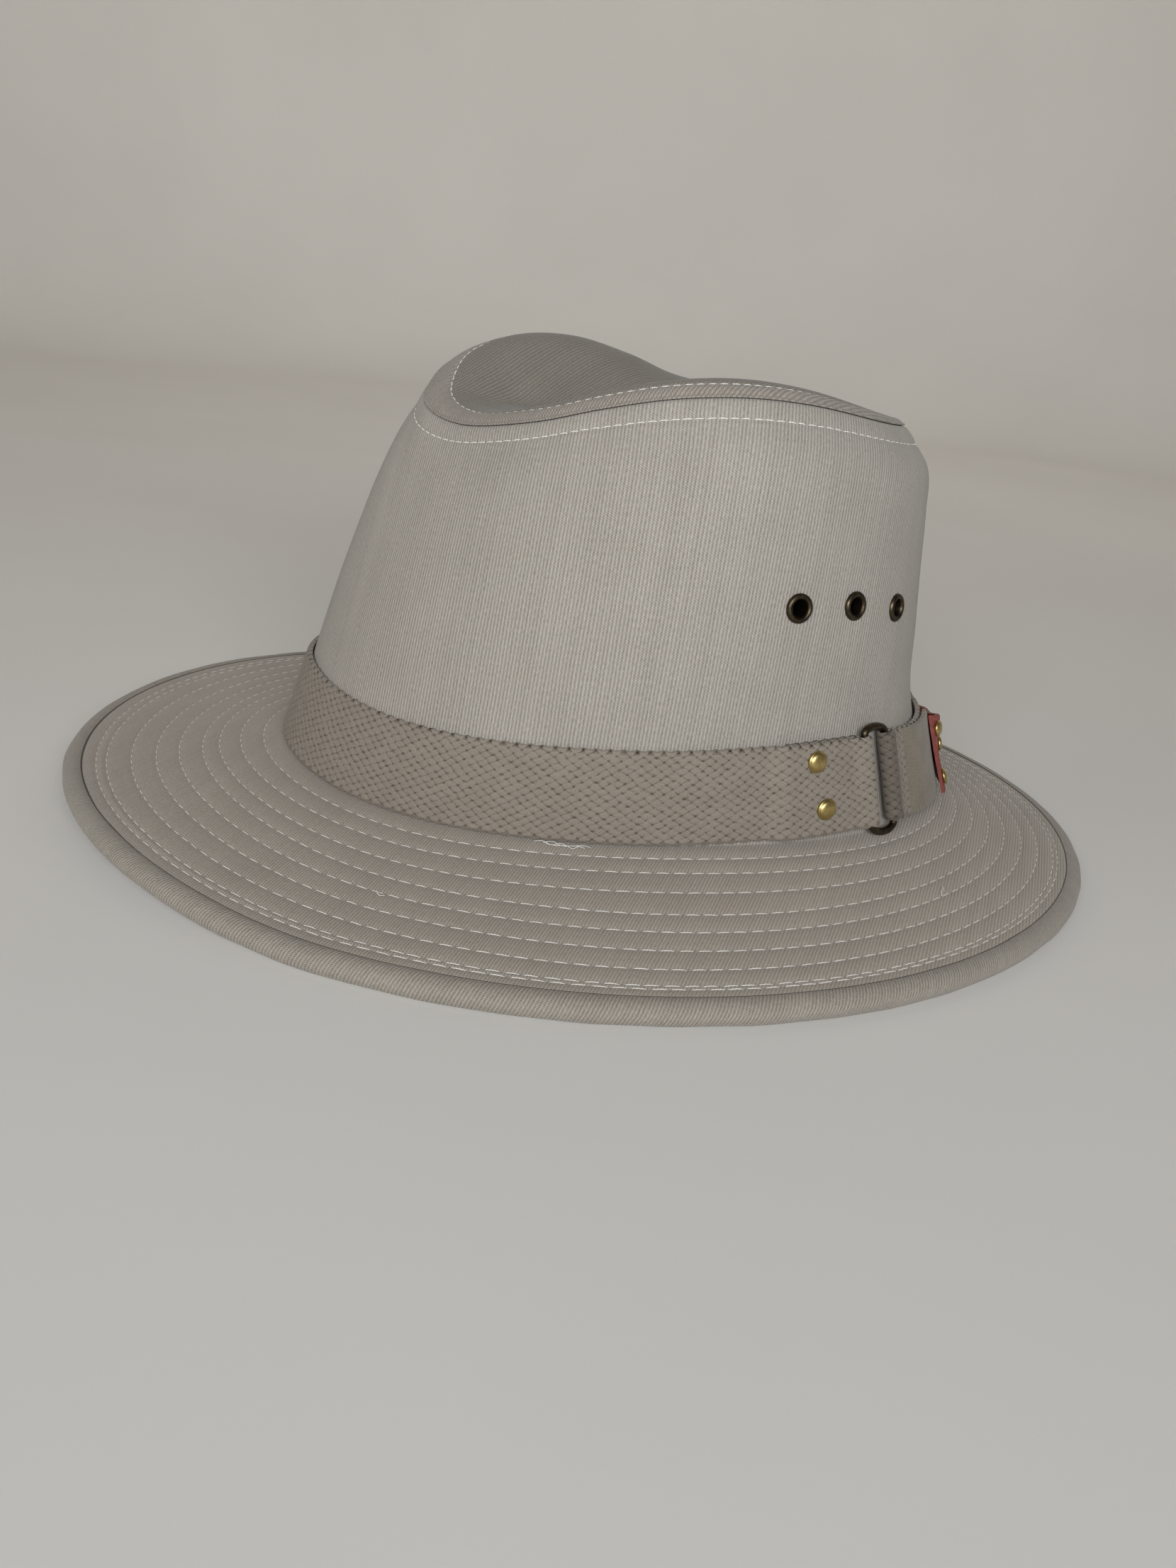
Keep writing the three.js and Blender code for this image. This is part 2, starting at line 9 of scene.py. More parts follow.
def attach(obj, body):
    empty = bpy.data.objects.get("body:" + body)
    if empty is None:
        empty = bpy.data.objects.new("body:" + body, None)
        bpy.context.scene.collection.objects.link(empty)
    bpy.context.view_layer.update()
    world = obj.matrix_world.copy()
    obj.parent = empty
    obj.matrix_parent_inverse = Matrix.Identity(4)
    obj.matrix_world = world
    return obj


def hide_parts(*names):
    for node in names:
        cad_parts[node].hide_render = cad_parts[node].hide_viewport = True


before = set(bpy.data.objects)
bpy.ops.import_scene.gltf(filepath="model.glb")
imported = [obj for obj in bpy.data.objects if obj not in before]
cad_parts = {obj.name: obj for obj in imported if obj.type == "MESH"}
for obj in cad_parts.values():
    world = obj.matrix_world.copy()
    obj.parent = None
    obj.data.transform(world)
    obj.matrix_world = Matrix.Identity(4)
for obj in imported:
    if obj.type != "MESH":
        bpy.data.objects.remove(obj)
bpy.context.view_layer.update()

# Wide-brim sewn fedora. Shapes are worked out in millimetres and made in metres.
# +Z is up, the front of the hat faces -Y and the wearer's left is +X.
MILLIMETRE = 0.001
UP = np.array([0.0, 0.0, 1.0])


class Sizes(dict):
    """Named sizes, read as attributes"""
    __getattr__ = dict.__getitem__


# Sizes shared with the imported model
GAP = 0.3
HEAD_HALF_WIDTH = 83
HEAD_HALF_LENGTH = 114
HEAD_MIDDLE = 9
JOIN_HEIGHT = 16.5
JOIN_SWAY = 4.8
WALL_FOOT = 3
WALL_THICK = 1.8
TIP_THICK = 1.6
RIDGE_INSET = 8
RIDGE_LIMIT = 0.6
RIDGE_RISE = Sizes(front=3, side=4, back=2)
CREASE = Sizes(x=0, middle=15, half_length=45, front_rise=114, back_rise=116)
BRIM_THICK = 2.6
BRIM_WIDTH = Sizes(front=66.5, side=71, back=48.5)
BRIM_DROP = 13
FRONT_LIFT = 5.2
LIFT_START = 0.45
ROLL_RADIUS = 3.9
WEB_THICK = 2
WEB_HEIGHT = 29.6
WEB_LIFT = 0.8
RING_LIFT = Sizes(rise=2.8, front_reach=90, back_reach=45)
RING_SKEW = 0.1
WIRE_RADIUS = 1.2
RING = Sizes(turn=135.8, bar_spacing=11, bar_half=15.1, top_rise=2.2, bottom_rise=2.9)
RETURN_LENGTH = 32
TAIL_LENGTH = 46
STEP_LENGTH = 8
PATCH = Sizes(half_width=22, height=28.6, low=0.6, thick=1.6)
PATCH_CURL = Sizes(top=0.1, bottom=1.1)
PATCH_BOW = Sizes(reach=15, start=0.45, top=2.3, bottom=0.2)
PATCH_DIP = 4
PATCH_STEP = Sizes(start=-6, length=8)
BAND_RIVET = Sizes(radius=3.4, height=1.9)
BAND_RIVETS = {"band_rivet_upper": (28.5, 24.3), "band_rivet_lower": (25.3, 9)}
PATCH_RIVET = Sizes(radius=2.75, height=1.2)
PATCH_RIVETS = {"top": (18.2, 23.8), "middle": (13, 16.6), "bottom": (19, 5.6)}
EYELET = Sizes(flange=4.4, hole=2.6, barrel=3, bore=3.3, height=1, washer=0.6)
EYELETS = [(116, 73), (131, 73.9), (146, 72.3)]

# How far the wall swells outward on its way up: part of the height, then front, side and back
SWELL = [
    (0, 0, 0, 0),
    (0.15, 1.5, 4, -2),
    (0.33, 3.2, 6.5, -2.6),
    (0.5, 4.5, 8, 0.7),
    (0.65, 5, 8.5, 3.5),
    (0.8, 5, 8, 6.4),
    (0.92, 3.5, 5.5, 7.5),
    (1, 0, 0, 0),
]

# Top seam of the crown: degrees from the front towards the wearer's left, then x, y and rise
SEAM = [
    (-180, 0, 91.5, 121.5),
    (-153, -30, 79, 120.5),
    (-127, -50, 56, 120),
    (-107, -58, 36, 121),
    (-92, -58, 20, 123),
    (-76, -55, 4, 128),
    (-57, -50, -18, 132.5),
    (-37, -39, -40, 131.5),
    (-19, -22, -58, 124.5),
    (0, 3, -63, 114),
    (24, 24, -50, 110),
    (45, 42, -28.5, 114.5),
    (64, 52.5, -9, 121),
    (83, 58, 10, 126),
    (101, 59, 30, 128.5),
    (124, 53, 51, 128),
    (153, 33, 77.5, 124),
]

# Cloth on both sides of the top seam: lift off the plain shape by place between the seam and the topstitch
SEAM_PUFF = [
    (0, -0.5), (0.08, -0.1), (0.22, 0.3), (0.54, 0.45), (0.83, 0.25), (1, -0.3), (1.17, 0.05), (1.6, 0),
]
SEAM_RAISE = Sizes(rise=1.5, reach=8)
SEAM_TUCK = [(0.6, -0.1), (1.6, -0.5), (3, -0.6)]
SEAM_LIP = [(-0.3, 0.7), (0.3, 0.6), (0.45, 0.35), (0.35, 0.1)]
WALL_TOPSTITCH = 4.7
TIP_TOPSTITCH = Sizes(side=4.2, front=8, reach=60)
FINE_BAND = 10
FINE_STEP = 0.32
TIP_FOLD = Sizes(reach=0.5, lift=0.1)
CREASE_REACH = 40
STITCH_STRIP = [-0.04, 0, 0.04, 0.08]
EYELET_DIMPLE = Sizes(depth=0.45, width=5.5)

# Rows of stitching on the brim at the front, side and back, as parts of the way to the middle of the roll
BRIM_ROWS = [
    (0.12, 0.095, 0.11),
    (0.233, 0.2, 0.22),
    (0.335, 0.333, 0.333),
    (0.413, 0.472, 0.445),
    (0.524, 0.58, 0.555),
    (0.632, 0.694, 0.668),
    (0.745, 0.81, 0.775),
    (0.858, 0.908, 0.88),
    (0.906, 0.928, 0.912),
]
BRIM_END_PART = 0.97
ROW_FRACTIONS = [0, 0.07, 0.17, 0.3, 0.5, 0.7, 0.83, 0.93]
STITCH_VALLEY = Sizes(depth=0.28, width=0.9)
BRIM_PUFF = Sizes(rise=0.07, reach=3.2)
BRIM_EDGE = Sizes(rise=1.2, reach=30)
ROLL_FLATNESS = 0.8
ROLL_SETTLE = 0.5
# Angle round the roll, up from its inner side, over which the binding is painted darker: painted shade along
# the crease with the brim
CREASE_SHADE_ANGLE = 55

# Slow unevenness of the cloth, and how far from the edges of the wall and of the tip it sets in
WALL_WAVE = Sizes(height=0.35, skew=2.2, seed=3)
WALL_CALM = Sizes(foot_part=0.35, seam=14)
TIP_WAVE = Sizes(height=0.5, skew=3, seed=5)
TIP_CALM = Sizes(ridge_part=0.15, crease_part=0.3)
BRIM_WAVE = Sizes(height=0.5, skew=1.5, seed=11, fastest=7)
ROLL_WAVE = Sizes(height=0.1, skew=0.6, seed=17, count=12, fastest=60)

# Thread: sizes of the stitches, how much they differ from each other, and how they bow up out of the cloth
BRIM_STITCH = Sizes(pitch=5.1, length=4.4, radius=0.17)
CROWN_STITCH = Sizes(pitch=3.3, length=2.75, radius=0.16)
STITCH_SPREAD = Sizes(start=0.05, length=(0.93, 1.05), skew=0.12, radius=(0.9, 1.1))
STITCH_BOW = Sizes(trim=0.02, lift=0.2, rise=1.6, sink=0.9, end_thickness=0.45)
STITCH_FULLNESS = Sizes(side=1.0, ends=0.68)
THREAD_SINK = 0.3
THREAD_FLATNESS = 0.85
TAIL = Sizes(radius=0.11, sides=6, points=24, lift=0.45, hop=0.5, hops=2.2)

# Twill ribs seen from above: the directions along and across them on the brim and on the tip
BRIM_RIBS = Sizes(along=(-0.93, 0.36, 0.0), across=(0.36, 0.93, 0.0))
TIP_RIBS = Sizes(along=(-0.76, 0.65, 0.0), across=(0.65, 0.76, 0.0))

# Webbing weave: lozenges of yarn, so long by so high, raised by so much, with grooves between them
WEAVE = Sizes(along=4.2, up=2.8, rise=0.45, groove=0.34, meeting=0.7, columns=6, rows=7)
LINE_SHARE = 0.45
LOZENGE_SEAT = 0.6
WEB_SWAY = Sizes(amount=0.18, waves=[(0.83, 1.9, 0), (1.31, -1.1, 2), (0.37, 0.7, 4)])
WEB_DRIFT = Sizes(amount=0.09, waves=[(0.71, 0.5, 1), (1.17, -0.9, 5)])
DRIFT_REACH = 2
WEB_EDGE = Sizes(thickness=0.62, reach=1.1, bite=0.2)
SELVEDGE = Sizes(inset=0.6, half_width=0.6, dash=4.2)
FOLD_SQUEEZE = 0.6
FOLD_CLEARANCE = 0.05
PLAIN_TAIL_START = 20
# Reach each way from the back bar of the ring over which the webbing is painted darker: painted shade in the
# fold
PAINTED_FOLD_SHADE = 3.2

# Leather and metal
PATCH_WEAR = Sizes(depth=0.4, reach=1.2, inside_share=0.2, roundest=0.999)
RIVET_DENT = Sizes(depth=0.35, width=4.2)
EYELET_SEAT = Sizes(lift=0.05, sink=0.15, chamfer=0.3)

# How finely the pieces are divided
WALL_COLUMNS = 400
WALL_ROWS = 92
INNER_STEP = 6
TIP_COLUMNS = 360
CREASE_ROWS = 26
UNDER_ROWS = Sizes(start=4, step=3)
BRIM_COLUMNS = 360
ROLL_COLUMNS = 480
ROLL_SIDES = 36
FOLD_STEPS = 25
RUN_STEPS = 20
PLAIN_ROWS = 6
RING_STEPS = Sizes(arch=28, bar=24, wire=18)
PATCH_COLUMNS = 72
PATCH_ROWS = 42
RIVET_SIDES = 48
EYELET_STEPS = Sizes(roll=13, round=40)
HOLE_SIDES = 32
MERGE_DISTANCE = 1e-6

# Small steps that slopes are taken over
TURN_STEP = 0.5
PART_STEP = 0.01

SIDES = {"left": 1, "right": -1}
rng = np.random.default_rng(7)


# Curves and surfaces of the hat

def smooth(t):
    held = np.clip(t, 0, 1)
    return held * held * (3 - 2 * held)


def unit(vectors):
    return vectors / np.linalg.norm(vectors, axis=-1, keepdims=True)


def points_of(x, y, z):
    return np.stack(np.broadcast_arrays(x, y, z), -1).astype(float)


def times(vectors, amount):
    return vectors * np.asarray(amount, float)[..., None]


def alike(*values):
    """Arrays of numbers brought to one shape"""
    return np.broadcast_arrays(*(np.asarray(value, float) for value in values))


def blend(start, end, part):
    return start + (end - start) * part


def closed(rows):
    """Rows with the first one again at the end"""
    return np.concatenate([rows, rows[:1]])


def turns(count):
    """Even turns round the hat in degrees"""
    return np.arange(count) * 360 / count


def circle(sides):
    """Even angles round a circle"""
    return 2 * math.pi * np.arange(sides) / sides


def spokes(sides, first, second):
    """Directions round a circle, from the first axis towards the second"""
    angle = circle(sides)[:, None]
    return np.cos(angle) * first + np.sin(angle) * second


def walked(points):
    """Distance walked along the first axis of a grid of points"""
    steps = np.linalg.norm(np.diff(points, axis=0), axis=-1)
    return np.concatenate([np.zeros_like(steps[:1]), np.cumsum(steps, 0)])


def bell(away, depth, width):
    """Depth of a soft hollow at a distance from its middle"""
    return depth * np.exp(-(away / width) ** 2)


def around(turn, front, side, back):
    """Blends a front, a side and a back value round the hat"""
    c = np.cos(np.radians(turn))
    return side + (front - back) / 2 * c + ((front + back) / 2 - side) * c * c


def through(table, at):
    """Smooth curves through the rows of a table, read where its first column has the value at"""
    xs, *columns = np.array(table, float).T
    last = len(xs) - 1
    k = np.clip(np.searchsorted(xs, at, side="right") - 1, 0, last - 1)
    before = np.maximum(k - 1, 0)
    after = np.minimum(k + 2, last)
    span = xs[k + 1] - xs[k]
    t = (at - xs[k]) / span
    for ys in columns:
        start_slope = (ys[k + 1] - ys[before]) / (xs[k + 1] - xs[before]) * span
        end_slope = (ys[after] - ys[k]) / (xs[after] - xs[k]) * span
        rest = ys[k + 1] - ys[k]
        bend = 3 * rest - 2 * start_slope - end_slope
        yield ys[k] + start_slope * t + bend * t ** 2 + (start_slope + end_slope - 2 * rest) * t ** 3


def oval_outward(turn):
    a = np.radians(turn)
    return unit(points_of(np.sin(a) / HEAD_HALF_WIDTH, -np.cos(a) / HEAD_HALF_LENGTH, 0))


def oval_point(turn, outset, z):
    a = np.radians(turn)
    base = points_of(HEAD_HALF_WIDTH * np.sin(a), HEAD_MIDDLE - HEAD_HALF_LENGTH * np.cos(a), z)
    return base + times(oval_outward(turn), outset)


def turned(row, by):
    return row[0] + by, *row[1:]


SEAM_LOOP = [turned(SEAM[-1], -360), *SEAM, turned(SEAM[0], 360), turned(SEAM[1], 360)]


def seam_point(turn):
    wrapped = np.mod(turn + 180, 360) - 180
    x, y, rise = through(SEAM_LOOP, wrapped)
    return points_of(x, y, JOIN_HEIGHT + rise)


def seam_outward(turn):
    """Level direction out of the crown at the seam"""
    across = seam_point(turn + TURN_STEP) - seam_point(turn - TURN_STEP)
    return unit(points_of(across[..., 1], -across[..., 0], 0))


def join_height(turn):
    """Height of the brim join: on each side it dips towards the front and rises towards the back"""
    cos = np.cos(np.radians(turn))
    return JOIN_HEIGHT - JOIN_SWAY * cos * (1 + cos) * np.sin(np.radians(turn)) ** 2


def wall_ends(turn):
    foot = oval_point(turn, 0, join_height(turn) - WALL_FOOT)
    return foot, seam_point(turn) - UP * (TIP_THICK + GAP)


def wall_height(turn):
    foot, head = wall_ends(turn)
    return np.linalg.norm(head - foot, axis=-1)


def wall_point(turn, part):
    """Outside of the crown wall: part is 0 at the foot and 1 at the top"""
    turn, part = alike(turn, part)
    foot, head = wall_ends(turn)
    swell = around(turn, *through(SWELL, part))
    return foot + times(head - foot, part) + times(oval_outward(turn), swell)


def wall_normal(turn, part):
    across = wall_point(turn + TURN_STEP, part) - wall_point(turn - TURN_STEP, part)
    above = wall_point(turn, np.minimum(1, part + PART_STEP))
    below = wall_point(turn, np.maximum(0, part - PART_STEP))
    return unit(np.cross(across, above - below))


def on_wall(turn, up, out):
    """A place on the outside of the wall: up is measured along the wall from the brim join"""
    turn, up, out = alike(turn, up, out)
    part = (up + WALL_FOOT) / wall_height(turn)
    return wall_point(turn, part) + times(wall_normal(turn, part), out)


# Distance walked round the foot of the wall, looked up both ways
DEGREES = np.arange(361.0)
WALK = walked(oval_point(DEGREES, 0, 0))
ROUND = WALK[-1]


def walk_at(turn):
    return np.interp(turn, DEGREES, WALK)


def turn_at(walk):
    return np.interp(np.mod(walk, ROUND), WALK, DEGREES)


def rim_point(turn):
    """Middle of the padded edge of the brim"""
    lift = FRONT_LIFT * smooth((np.cos(np.radians(turn)) - LIFT_START) / (1 - LIFT_START))
    return oval_point(turn, around(turn, **BRIM_WIDTH), JOIN_HEIGHT - BRIM_DROP + lift)


def wander(turn, across, height, skew, seed, count=7, fastest=9):
    """Slow unevenness of hand-made cloth, up to about a height and the same after a full turn"""
    local = np.random.default_rng(seed)
    total = 0
    for _ in range(count):
        waves = local.integers(2, fastest)
        lean = skew * local.uniform(-3, 3)
        start = local.uniform(0, 6.3)
        total = total + np.sin(np.radians(turn) * waves + across * lean + start)
    return height * total / math.sqrt(count)


def grid_normals(grid):
    """Normals of a grid of points whose columns run round the hat"""
    across = np.roll(grid, -1, 0) - np.roll(grid, 1, 0)
    return unit(np.cross(across, np.gradient(grid, axis=1)))


# Meshes

def grid_patch(grid, uv, closed_columns=False, closed_rows=False, finish=0):
    """Quads over a grid of points; uv(i, j) gives the weave place of each corner in millimetres"""
    columns, rows = grid.shape[:2]
    across = np.arange(columns if closed_columns else columns - 1)
    along = np.arange(rows if closed_rows else rows - 1)
    i, j = (axis.ravel() for axis in np.meshgrid(across, along, indexing="ij"))
    corner_i = np.stack([i, i + 1, i + 1, i], 1)
    corner_j = np.stack([j, j, j + 1, j + 1], 1)
    return {
        "points": grid.reshape(-1, 3),
        "faces": (corner_i % columns * rows + corner_j % rows).tolist(),
        "uv": uv(corner_i, corner_j).reshape(-1, 2),
        "finish": finish,
    }


def add_caps(patch, loops):
    """Closes a patch with a face over each loop of its points"""
    patch["faces"] += [list(loop) for loop in loops]
    extra = sum(len(loop) for loop in loops)
    patch["uv"] = np.concatenate([patch["uv"], np.zeros((extra, 2))])
    return patch


def new_object(name, data):
    made = bpy.data.objects.new(name, data)
    bpy.context.scene.collection.objects.link(made)
    return made


def new_solid(name, patches, materials, sharp_angle):
    """An object made of patches, its faces turned outward and its edges sharp past an angle"""
    points = np.concatenate([patch["points"] for patch in patches]) * MILLIMETRE
    starts = np.cumsum([0] + [len(patch["points"]) for patch in patches])
    faces = [[start + k for k in face] for patch, start in zip(patches, starts) for face in patch["faces"]]
    mesh = bpy.data.meshes.new(name)
    mesh.from_pydata(points.tolist(), [], faces)
    layer = mesh.uv_layers.new(name="weave")
    layer.data.foreach_set("uv", np.concatenate([patch["uv"] for patch in patches]).ravel())
    finishes = np.concatenate([np.full(len(patch["faces"]), patch["finish"]) for patch in patches])
    mesh.polygons.foreach_set("material_index", finishes)
    for material in materials:
        mesh.materials.append(material)
    work = bmesh.new()
    work.from_mesh(mesh)
    bmesh.ops.remove_doubles(work, verts=work.verts, dist=MERGE_DISTANCE)
    bmesh.ops.recalc_face_normals(work, faces=work.faces)
    work.to_mesh(mesh)
    work.free()
    mesh.polygons.foreach_set("use_smooth", np.ones(len(mesh.polygons), bool))
    mesh.set_sharp_from_angle(angle=math.radians(sharp_angle))
    mesh.update()
    return new_object(name, mesh)


def new_piece(name, patches, materials, replaced=(), sharp_angle=60):
    piece = new_solid(name, patches, materials, sharp_angle)
    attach(piece, "root")
    if replaced:
        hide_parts(*replaced)
    return piece


def flat_uv(grid, ribs):
    """Weave place on cloth cut flat, seen from above: across and along the ribs"""
    uv = np.stack([grid @ np.array(ribs.across), grid @ np.array(ribs.along)], -1)
    columns, rows = uv.shape[:2]
    return lambda i, j: uv[i % columns, j % rows]


def index_uv(across, along):
    """Weave place by column and row, so many millimetres apart"""
    return lambda i, j: np.stack([i * across, j * along], -1)


def turned_grid(profile, sides, place, normal):
    """Points of a body of turning on a place of a surface: the profile lists radius and height"""
    side = unit(np.cross(normal, UP))
    round_way = spokes(sides, side, np.cross(normal, side))
    radius, height = np.array(profile, float).T
    return place + times(round_way[:, None], radius) + times(normal, height)


def turned_patch(profile, sides, place, normal):
    """A body of turning with closed ends"""
    rows = len(profile)
    radius = np.array(profile, float)[:, 0]
    flat = spokes(sides, np.array([1, 0]), np.array([0, 1]))

    def uv(i, j):
        return times(flat[i % sides], radius[j])

    patch = grid_patch(turned_grid(profile, sides, place, normal), uv, closed_columns=True)
    ends = [range(0, sides * rows, rows), range(rows - 1, sides * rows, rows)]
    return add_caps(patch, ends)


def capped_tube(grid, uv):
    """Rings of points joined to a tube with closed ends"""
    rings, sides = grid.shape[:2]
    last = (rings - 1) * sides
    return add_caps(grid_patch(grid, uv, closed_rows=True), [range(sides), range(last, last + sides)])


def stitches(rail, normals, size, fullness, sides=6, rings=6):
    """Short capsules of thread round a closed rail, their ends sunk into the cloth; thin ones lie deeper"""
    rail, normals, fullness = closed(rail), closed(normals), closed(fullness)
    walk = walked(rail)
    count = round(walk[-1] / size.pitch)
    pitch = walk[-1] / count
    spread = STITCH_SPREAD
    starts = (np.arange(count) + rng.uniform(-spread.start, spread.start, count)) * pitch
    lengths = size.length * rng.uniform(*spread.length, count)
    part = np.linspace(0, 1, rings)
    at = np.clip(starts[:, None] + part * lengths[:, None], 0, walk[-1])
    centre = np.stack([np.interp(at, walk, column) for column in rail.T], -1)
    normal = unit(np.stack([np.interp(at, walk, column) for column in normals.T], -1))
    full = np.interp(at, walk, fullness)
    along = unit(np.gradient(centre, axis=1))
    side = unit(np.cross(along, normal))
    bow = np.sqrt(np.sin(math.pi * np.clip(part, STITCH_BOW.trim, 1 - STITCH_BOW.trim)))
    skew = rng.uniform(-spread.skew, spread.skew, count)[:, None] * (part - 0.5) * 2
    height = STITCH_BOW.lift * (STITCH_BOW.rise * bow - STITCH_BOW.sink) - THREAD_SINK * (1 - full)
    centre = centre + times(normal, height) + times(side, skew)
    taper = blend(STITCH_BOW.end_thickness, 1, bow)
    thick = size.radius * rng.uniform(*spread.radius, count)[:, None] * taper * full
    round_way = spokes(sides, side[:, :, None], THREAD_FLATNESS * normal[:, :, None])
    shells = centre[:, :, None] + times(round_way, thick[..., None])

    def uv(i, j):
        return np.stack([part[i] * size.length, j / sides], -1)

    return [capped_tube(shell, uv) for shell in shells]


def thread_tube(path, radius, sides):
    """A thin tube of thread along a path of points"""
    along = unit(np.gradient(path, axis=0))
    side = unit(np.cross(along, UP))
    other = np.cross(side, along)
    grid = path[:, None] + radius * spokes(sides, side[:, None], other[:, None])
    walk = walked(path)

    def uv(i, j):
        return np.stack([walk[i], j / sides], -1)

    return capped_tube(grid, uv)


# Materials

def linear(colour):
    """Scene values of a colour given in screen values, each more than 10 of 255"""
    return [((value / 255 + 0.055) / 1.055) ** 2.4 for value in colour]


class Look:
    """A material and short ways to add nodes to it"""

    def __init__(self, name):
        self.material = bpy.data.materials.new(name)
        self.material.use_nodes = True
        self.tree = self.material.node_tree
        self.shader = self.tree.nodes["Principled BSDF"]

    def put(self, socket, value):
        if isinstance(value, bpy.types.NodeSocket):
            self.tree.links.new(value, socket)
        else:
            socket.default_value = value

    def node(self, kind, inputs, **settings):
        made = self.tree.nodes.new("ShaderNode" + kind)
        for name, value in settings.items():
            setattr(made, name, value)
        for key, value in inputs.items():
            self.put(made.inputs[key], value)
        return made

    def math(self, operation, *values):
        return self.node("Math", dict(enumerate(values)), operation=operation).outputs[0]

    def sum(self, *terms):
        """Adds up socket and weight pairs"""
        total = 0.0
        for socket, weight in terms:
            total = self.math("MULTIPLY_ADD", socket, weight, total)
        return total

    def uv(self):
        return self.node("UVMap", {}, uv_map="weave").outputs["UV"]

    def split(self, vector):
        return self.node("SeparateXYZ", {"Vector": vector}).outputs[:2]

    def scaled(self, vector, x, y, z=1):
        return self.node("Mapping", {"Vector": vector, "Scale": (x, y, z)}).outputs[0]

    def noise(self, vector, scale, detail=2.0, roughness=0.5):
        inputs = {"Vector": vector, "Scale": scale, "Detail": detail, "Roughness": roughness}
        return self.node("TexNoise", inputs).outputs["Fac"]

    def object_place(self):
        return self.node("TexCoord", {}).outputs["Object"]

    def wave(self, phase):
        """A wave from 0 to 1 that repeats when the phase grows by 1"""
        turn = self.math("MULTIPLY", phase, 2 * math.pi)
        return self.math("MULTIPLY_ADD", self.math("SINE", turn), 0.5, 0.5)

    def span(self, value, low, high, start=0.0, end=1.0):
        """Carries a range of values over to another one, held at its ends"""
        inputs = {"Value": value, "From Min": low, "From Max": high, "To Min": start, "To Max": end}
        return self.node("MapRange", inputs).outputs["Result"]

    def paint(self, factor, *stops):
        """Colours the surface by a ramp through screen colours"""
        made = self.node("ValToRGB", {"Fac": factor})
        elements = made.color_ramp.elements
        while len(elements) < len(stops):
            elements.new(0.5)
        for element, (place, colour) in zip(elements, stops):
            element.position = place
            element.color = (*linear(colour), 1)
        self.put(self.shader.inputs["Base Color"], made.outputs["Color"])

    def bump(self, height, strength, distance):
        inputs = {"Height": height, "Strength": strength, "Distance": distance * MILLIMETRE}
        self.put(self.shader.inputs["Normal"], self.node("Bump", inputs).outputs[0])

    def constants(self, **values):
        for name, value in values.items():
            self.shader.inputs[name.replace("_", " ")].default_value = value
        return self.material


def twill_look(name, groove, yarn, crest, pitch, lean, depth):
    """Cotton twill: raised ribs of yarn, each a little different, with fibres along them"""
    look = Look(name)
    uv = look.uv()
    across, along = look.split(uv)
    drift = look.noise(look.scaled(uv, 0.09, 0.03), 1.0)
    phase = look.sum((across, 1 / pitch), (along, lean / pitch), (drift, 0.8))
    rib = look.wave(phase)
    rib_number = look.math("FLOOR", phase)
    own_tone = look.node("TexWhiteNoise", {"W": rib_number}, noise_dimensions="1D").outputs["Value"]
    twist = look.wave(look.sum((along, 1 / 0.7), (across, 0.9)))
    fibres = look.noise(look.scaled(uv, 2.6, 0.8), 1.0, 3.0, 0.6)
    mottle = look.noise(look.scaled(uv, 0.06, 0.05), 1.0, 3.0)
    tone = look.sum((rib, 0.27), (own_tone, 0.05), (twist, 0.18), (fibres, 0.58), (mottle, 0.12))
    look.paint(look.span(tone, 0.3, 1.0), (0, groove), (0.5, yarn), (1, crest))
    look.bump(look.sum((rib, 0.7), (twist, 0.25), (fibres, 0.5)), 0.55, depth)
    return look.constants(Roughness=0.92, Specular_IOR_Level=0.2, Sheen_Weight=0.12, Sheen_Roughness=0.5)


def webbing_look(name, gap, yarn, crest):
    """Coarse cotton webbing: lozenges of plied yarn with dark lines between them and a dotted selvedge"""
    look = Look(name)
    uv = look.uv()
    along, up = look.split(uv)
    turn_along, turn_up = 2 * math.pi / WEAVE.along, 2 * math.pi / WEAVE.up
    leans = [look.math("COSINE", look.sum((along, turn_along), (up, way * turn_up))) for way in (1, -1)]
    lozenges = look.span(look.math("MINIMUM", *leans), -1.0, WEAVE.groove - 1)
    meetings = look.span(look.math("MAXIMUM", *leans), -1.0, -0.3)
    ply = look.wave(look.sum((along, 1 / 0.55), (up, 1 / 0.9)))
    fibres = look.noise(look.scaled(uv, 2.2, 2.8), 1.0, 3.0, 0.6)
    mottle = look.noise(look.scaled(uv, 0.11, 0.16), 1.0, 2.0)
    to_edge = look.math("MINIMUM", up, look.math("SUBTRACT", WEB_HEIGHT, up))
    from_line = look.math("ABSOLUTE", look.math("SUBTRACT", to_edge, SELVEDGE.inset))
    near_line = look.span(from_line, SELVEDGE.half_width, SELVEDGE.half_width / 2)
    dash_turn = look.math("MULTIPLY", along, 2 * math.pi / SELVEDGE.dash)
    dashes = look.span(look.math("COSINE", dash_turn), -0.1, 0.5)
    dots = look.math("MULTIPLY", near_line, dashes)
    broken = look.span(look.noise(look.scaled(uv, 0.55, 0.9), 1.0, 1.0), 0.35, 0.6)
    lines = look.math("MULTIPLY", look.math("SUBTRACT", 1.0, lozenges), broken)
    cloth_tone = look.sum((meetings, 0.36), (ply, 0.1), (fibres, 0.66), (mottle, 0.16))
    tone = look.sum((lines, -0.22), (dots, -0.22), (cloth_tone, 1.0))
    look.paint(look.span(tone, 0.12, 1.02), (0, gap), (0.45, yarn), (1, crest))
    look.bump(look.sum((lines, -0.4), (ply, 0.2), (fibres, 0.5), (dots, -0.3)), 0.6, 0.35)
    return look.constants(Roughness=0.95, Specular_IOR_Level=0.15, Sheen_Weight=0.1)


